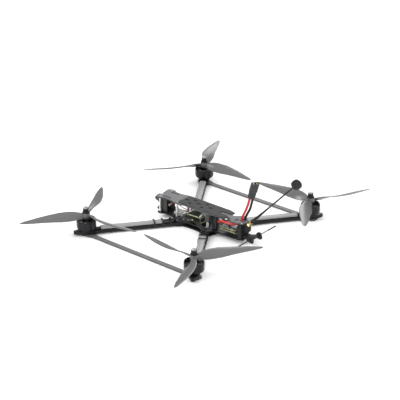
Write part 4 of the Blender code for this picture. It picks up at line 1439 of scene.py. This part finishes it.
def make_video_antenna(palette):
    start = Vector((0.0, -128.2, 46.7)) * MM
    end = Vector((0.0, -234.6, 154.6)) * MM
    full = (end - start).length
    head = full - 11.0 * MM
    boot = [(0, 0), (3.0 * MM, 0), (3.2 * MM, 0.6 * MM)]
    for i in range(6):
        z = (2.0 + 3.2 * i) * MM
        radius = (3.15 - 0.09 * i) * MM
        boot += [
            (radius, z), (radius - 0.35 * MM, z + 0.4 * MM), (radius - 0.35 * MM, z + 1.2 * MM),
            (radius - 0.05 * MM, z + 1.6 * MM),
        ]
    boot += [
        (2.3 * MM, 24 * MM), (1.9 * MM, 40 * MM), (1.5 * MM, 60 * MM), (1.5 * MM, head - 3 * MM),
        (0, head - 3 * MM),
    ]
    made_along("video_antenna_stem", boot, start, palette["shell"], 32, ("video_antenna",))
    cap = [
        (0, head - 5 * MM), (1.9 * MM, head - 5 * MM), (2.3 * MM, head - 4 * MM),
        (5.4 * MM, head - 2.2 * MM),
    ]
    cap += [
        (6.0 * MM, head - 1.2 * MM), (6.1 * MM, head + 0.9 * MM), (9.0 * MM, head + 1.3 * MM),
        (9.5 * MM, head + 2.0 * MM),
    ]
    cap += [
        (9.5 * MM, full - 3.0 * MM), (9.2 * MM, full - 1.6 * MM), (8.2 * MM, full - 0.7 * MM),
        (6.2 * MM, full - 0.25 * MM),
    ]
    cap += [(3.0 * MM, full - 0.05 * MM), (0, full)]
    made_along("video_antenna_cap", cap, start, palette["shell"], 64)


def make_receiver_antenna(palette):
    """Two thin elements in a T, each with a thicker sheathed tip."""
    left, right = Vector((-55.0, -134.6, 14.9)) * MM, Vector((55.0, -141.4, 24.3)) * MM
    full = (right - left).length
    thin, thick, tip = 0.95 * MM, 1.3 * MM, 21 * MM
    profile = [(0, 0), (thick * 0.8, 0), (thick, 0.4 * MM), (thick, tip), (thin, tip + 1 * MM)]
    profile += [
        (thin, full / 2 - 7 * MM), (1.5 * MM, full / 2 - 6 * MM), (1.5 * MM, full / 2 + 6 * MM),
        (thin, full / 2 + 7 * MM),
    ]
    profile += [
        (thin, full - tip - 1 * MM), (thick, full - tip), (thick, full - 0.4 * MM),
        (thick * 0.8, full), (0, full),
    ]
    bm = lathe(profile, 20)
    bm.transform(standing(left, right))
    shaped(
        "receiver_antenna_rods", bm, palette["black"], AIRFRAME,
        replaces=("receiver_antenna",),
    )
    centre = (left + right) / 2
    route = [centre, centre + Vector((0, 8, -2)) * MM]
    route += [Vector((0, -120, 19.5)) * MM, Vector((0, -113, 20)) * MM]
    coax = tube(smooth_route(route, 2 * MM), 0.8 * MM, 8)
    shaped("receiver_coax", coax, palette["black"], AIRFRAME)


# ---------------------------------------------------------------- stage


def make_stage():
    """A pale floor under even, soft studio light."""
    world = bpy.data.worlds.new("studio")
    bpy.context.scene.world = world
    world.use_nodes = True
    tree = world.node_tree
    sky = tree.nodes["Background"]
    place = tree.nodes.new("ShaderNodeTexCoord")
    parts = tree.nodes.new("ShaderNodeSeparateXYZ")
    height = tree.nodes.new("ShaderNodeMapRange")
    height.inputs["To Min"].default_value = 0.32
    height.inputs["To Max"].default_value = 1.25
    tree.links.new(place.outputs["Generated"], parts.inputs[0])
    tree.links.new(parts.outputs["Z"], height.inputs["Value"])
    tree.links.new(height.outputs[0], sky.inputs["Strength"])
    sky.inputs["Color"].default_value = (1, 1, 1, 1)

    floor_bm = bmesh.new()
    bmesh.ops.create_grid(floor_bm, x_segments=1, y_segments=1, size=12)
    mesh = bpy.data.meshes.new("floor")
    floor_bm.to_mesh(mesh)
    floor_bm.free()
    paint = Surface("floor_paint", (0.93, 0.93, 0.93), 0.9)
    paint.colour(
        paint.ramp(paint.noise(3.0), [(0.3, (0.925, 0.925, 0.925)), (0.7, (0.935, 0.935, 0.935))])
    )
    mesh.materials.append(paint.material)
    floor = bpy.data.objects.new("floor", mesh)
    floor.location.z = -0.5 * MM
    bpy.context.scene.collection.objects.link(floor)

    for name, place, size, power in (
        ("key", (-2.2, 1.2, 2.2), 1.5, 55),
        ("fill", (0.6, -2.6, 1.9), 1.2, 14),
        ("side", (-2.6, -1.5, 1.3), 1.3, 40),
        ("strip", (1.5, -2.3, 0.9), 0.5, 16),
        ("rim", (2.4, 1.2, 1.8), 1.2, 22),
    ):
        data = bpy.data.lights.new(name, "AREA")
        data.size = size
        data.energy = power
        light = bpy.data.objects.new(name, data)
        light.location = place
        light.rotation_euler = (-Vector(place)).to_track_quat("-Z", "Y").to_euler()
        bpy.context.scene.collection.objects.link(light)
    bpy.context.scene.view_settings.view_transform = "Standard"


def main():
    palette = make_palette()
    make_camera()
    make_cords(palette)
    make_motors(palette)
    make_arms(palette)
    make_plates(palette)
    make_standoffs(palette)
    make_nose_camera(palette)
    make_stack(palette)
    make_loose_wires(palette)
    make_boxes(palette)
    make_tail(palette)
    make_stage()


main()
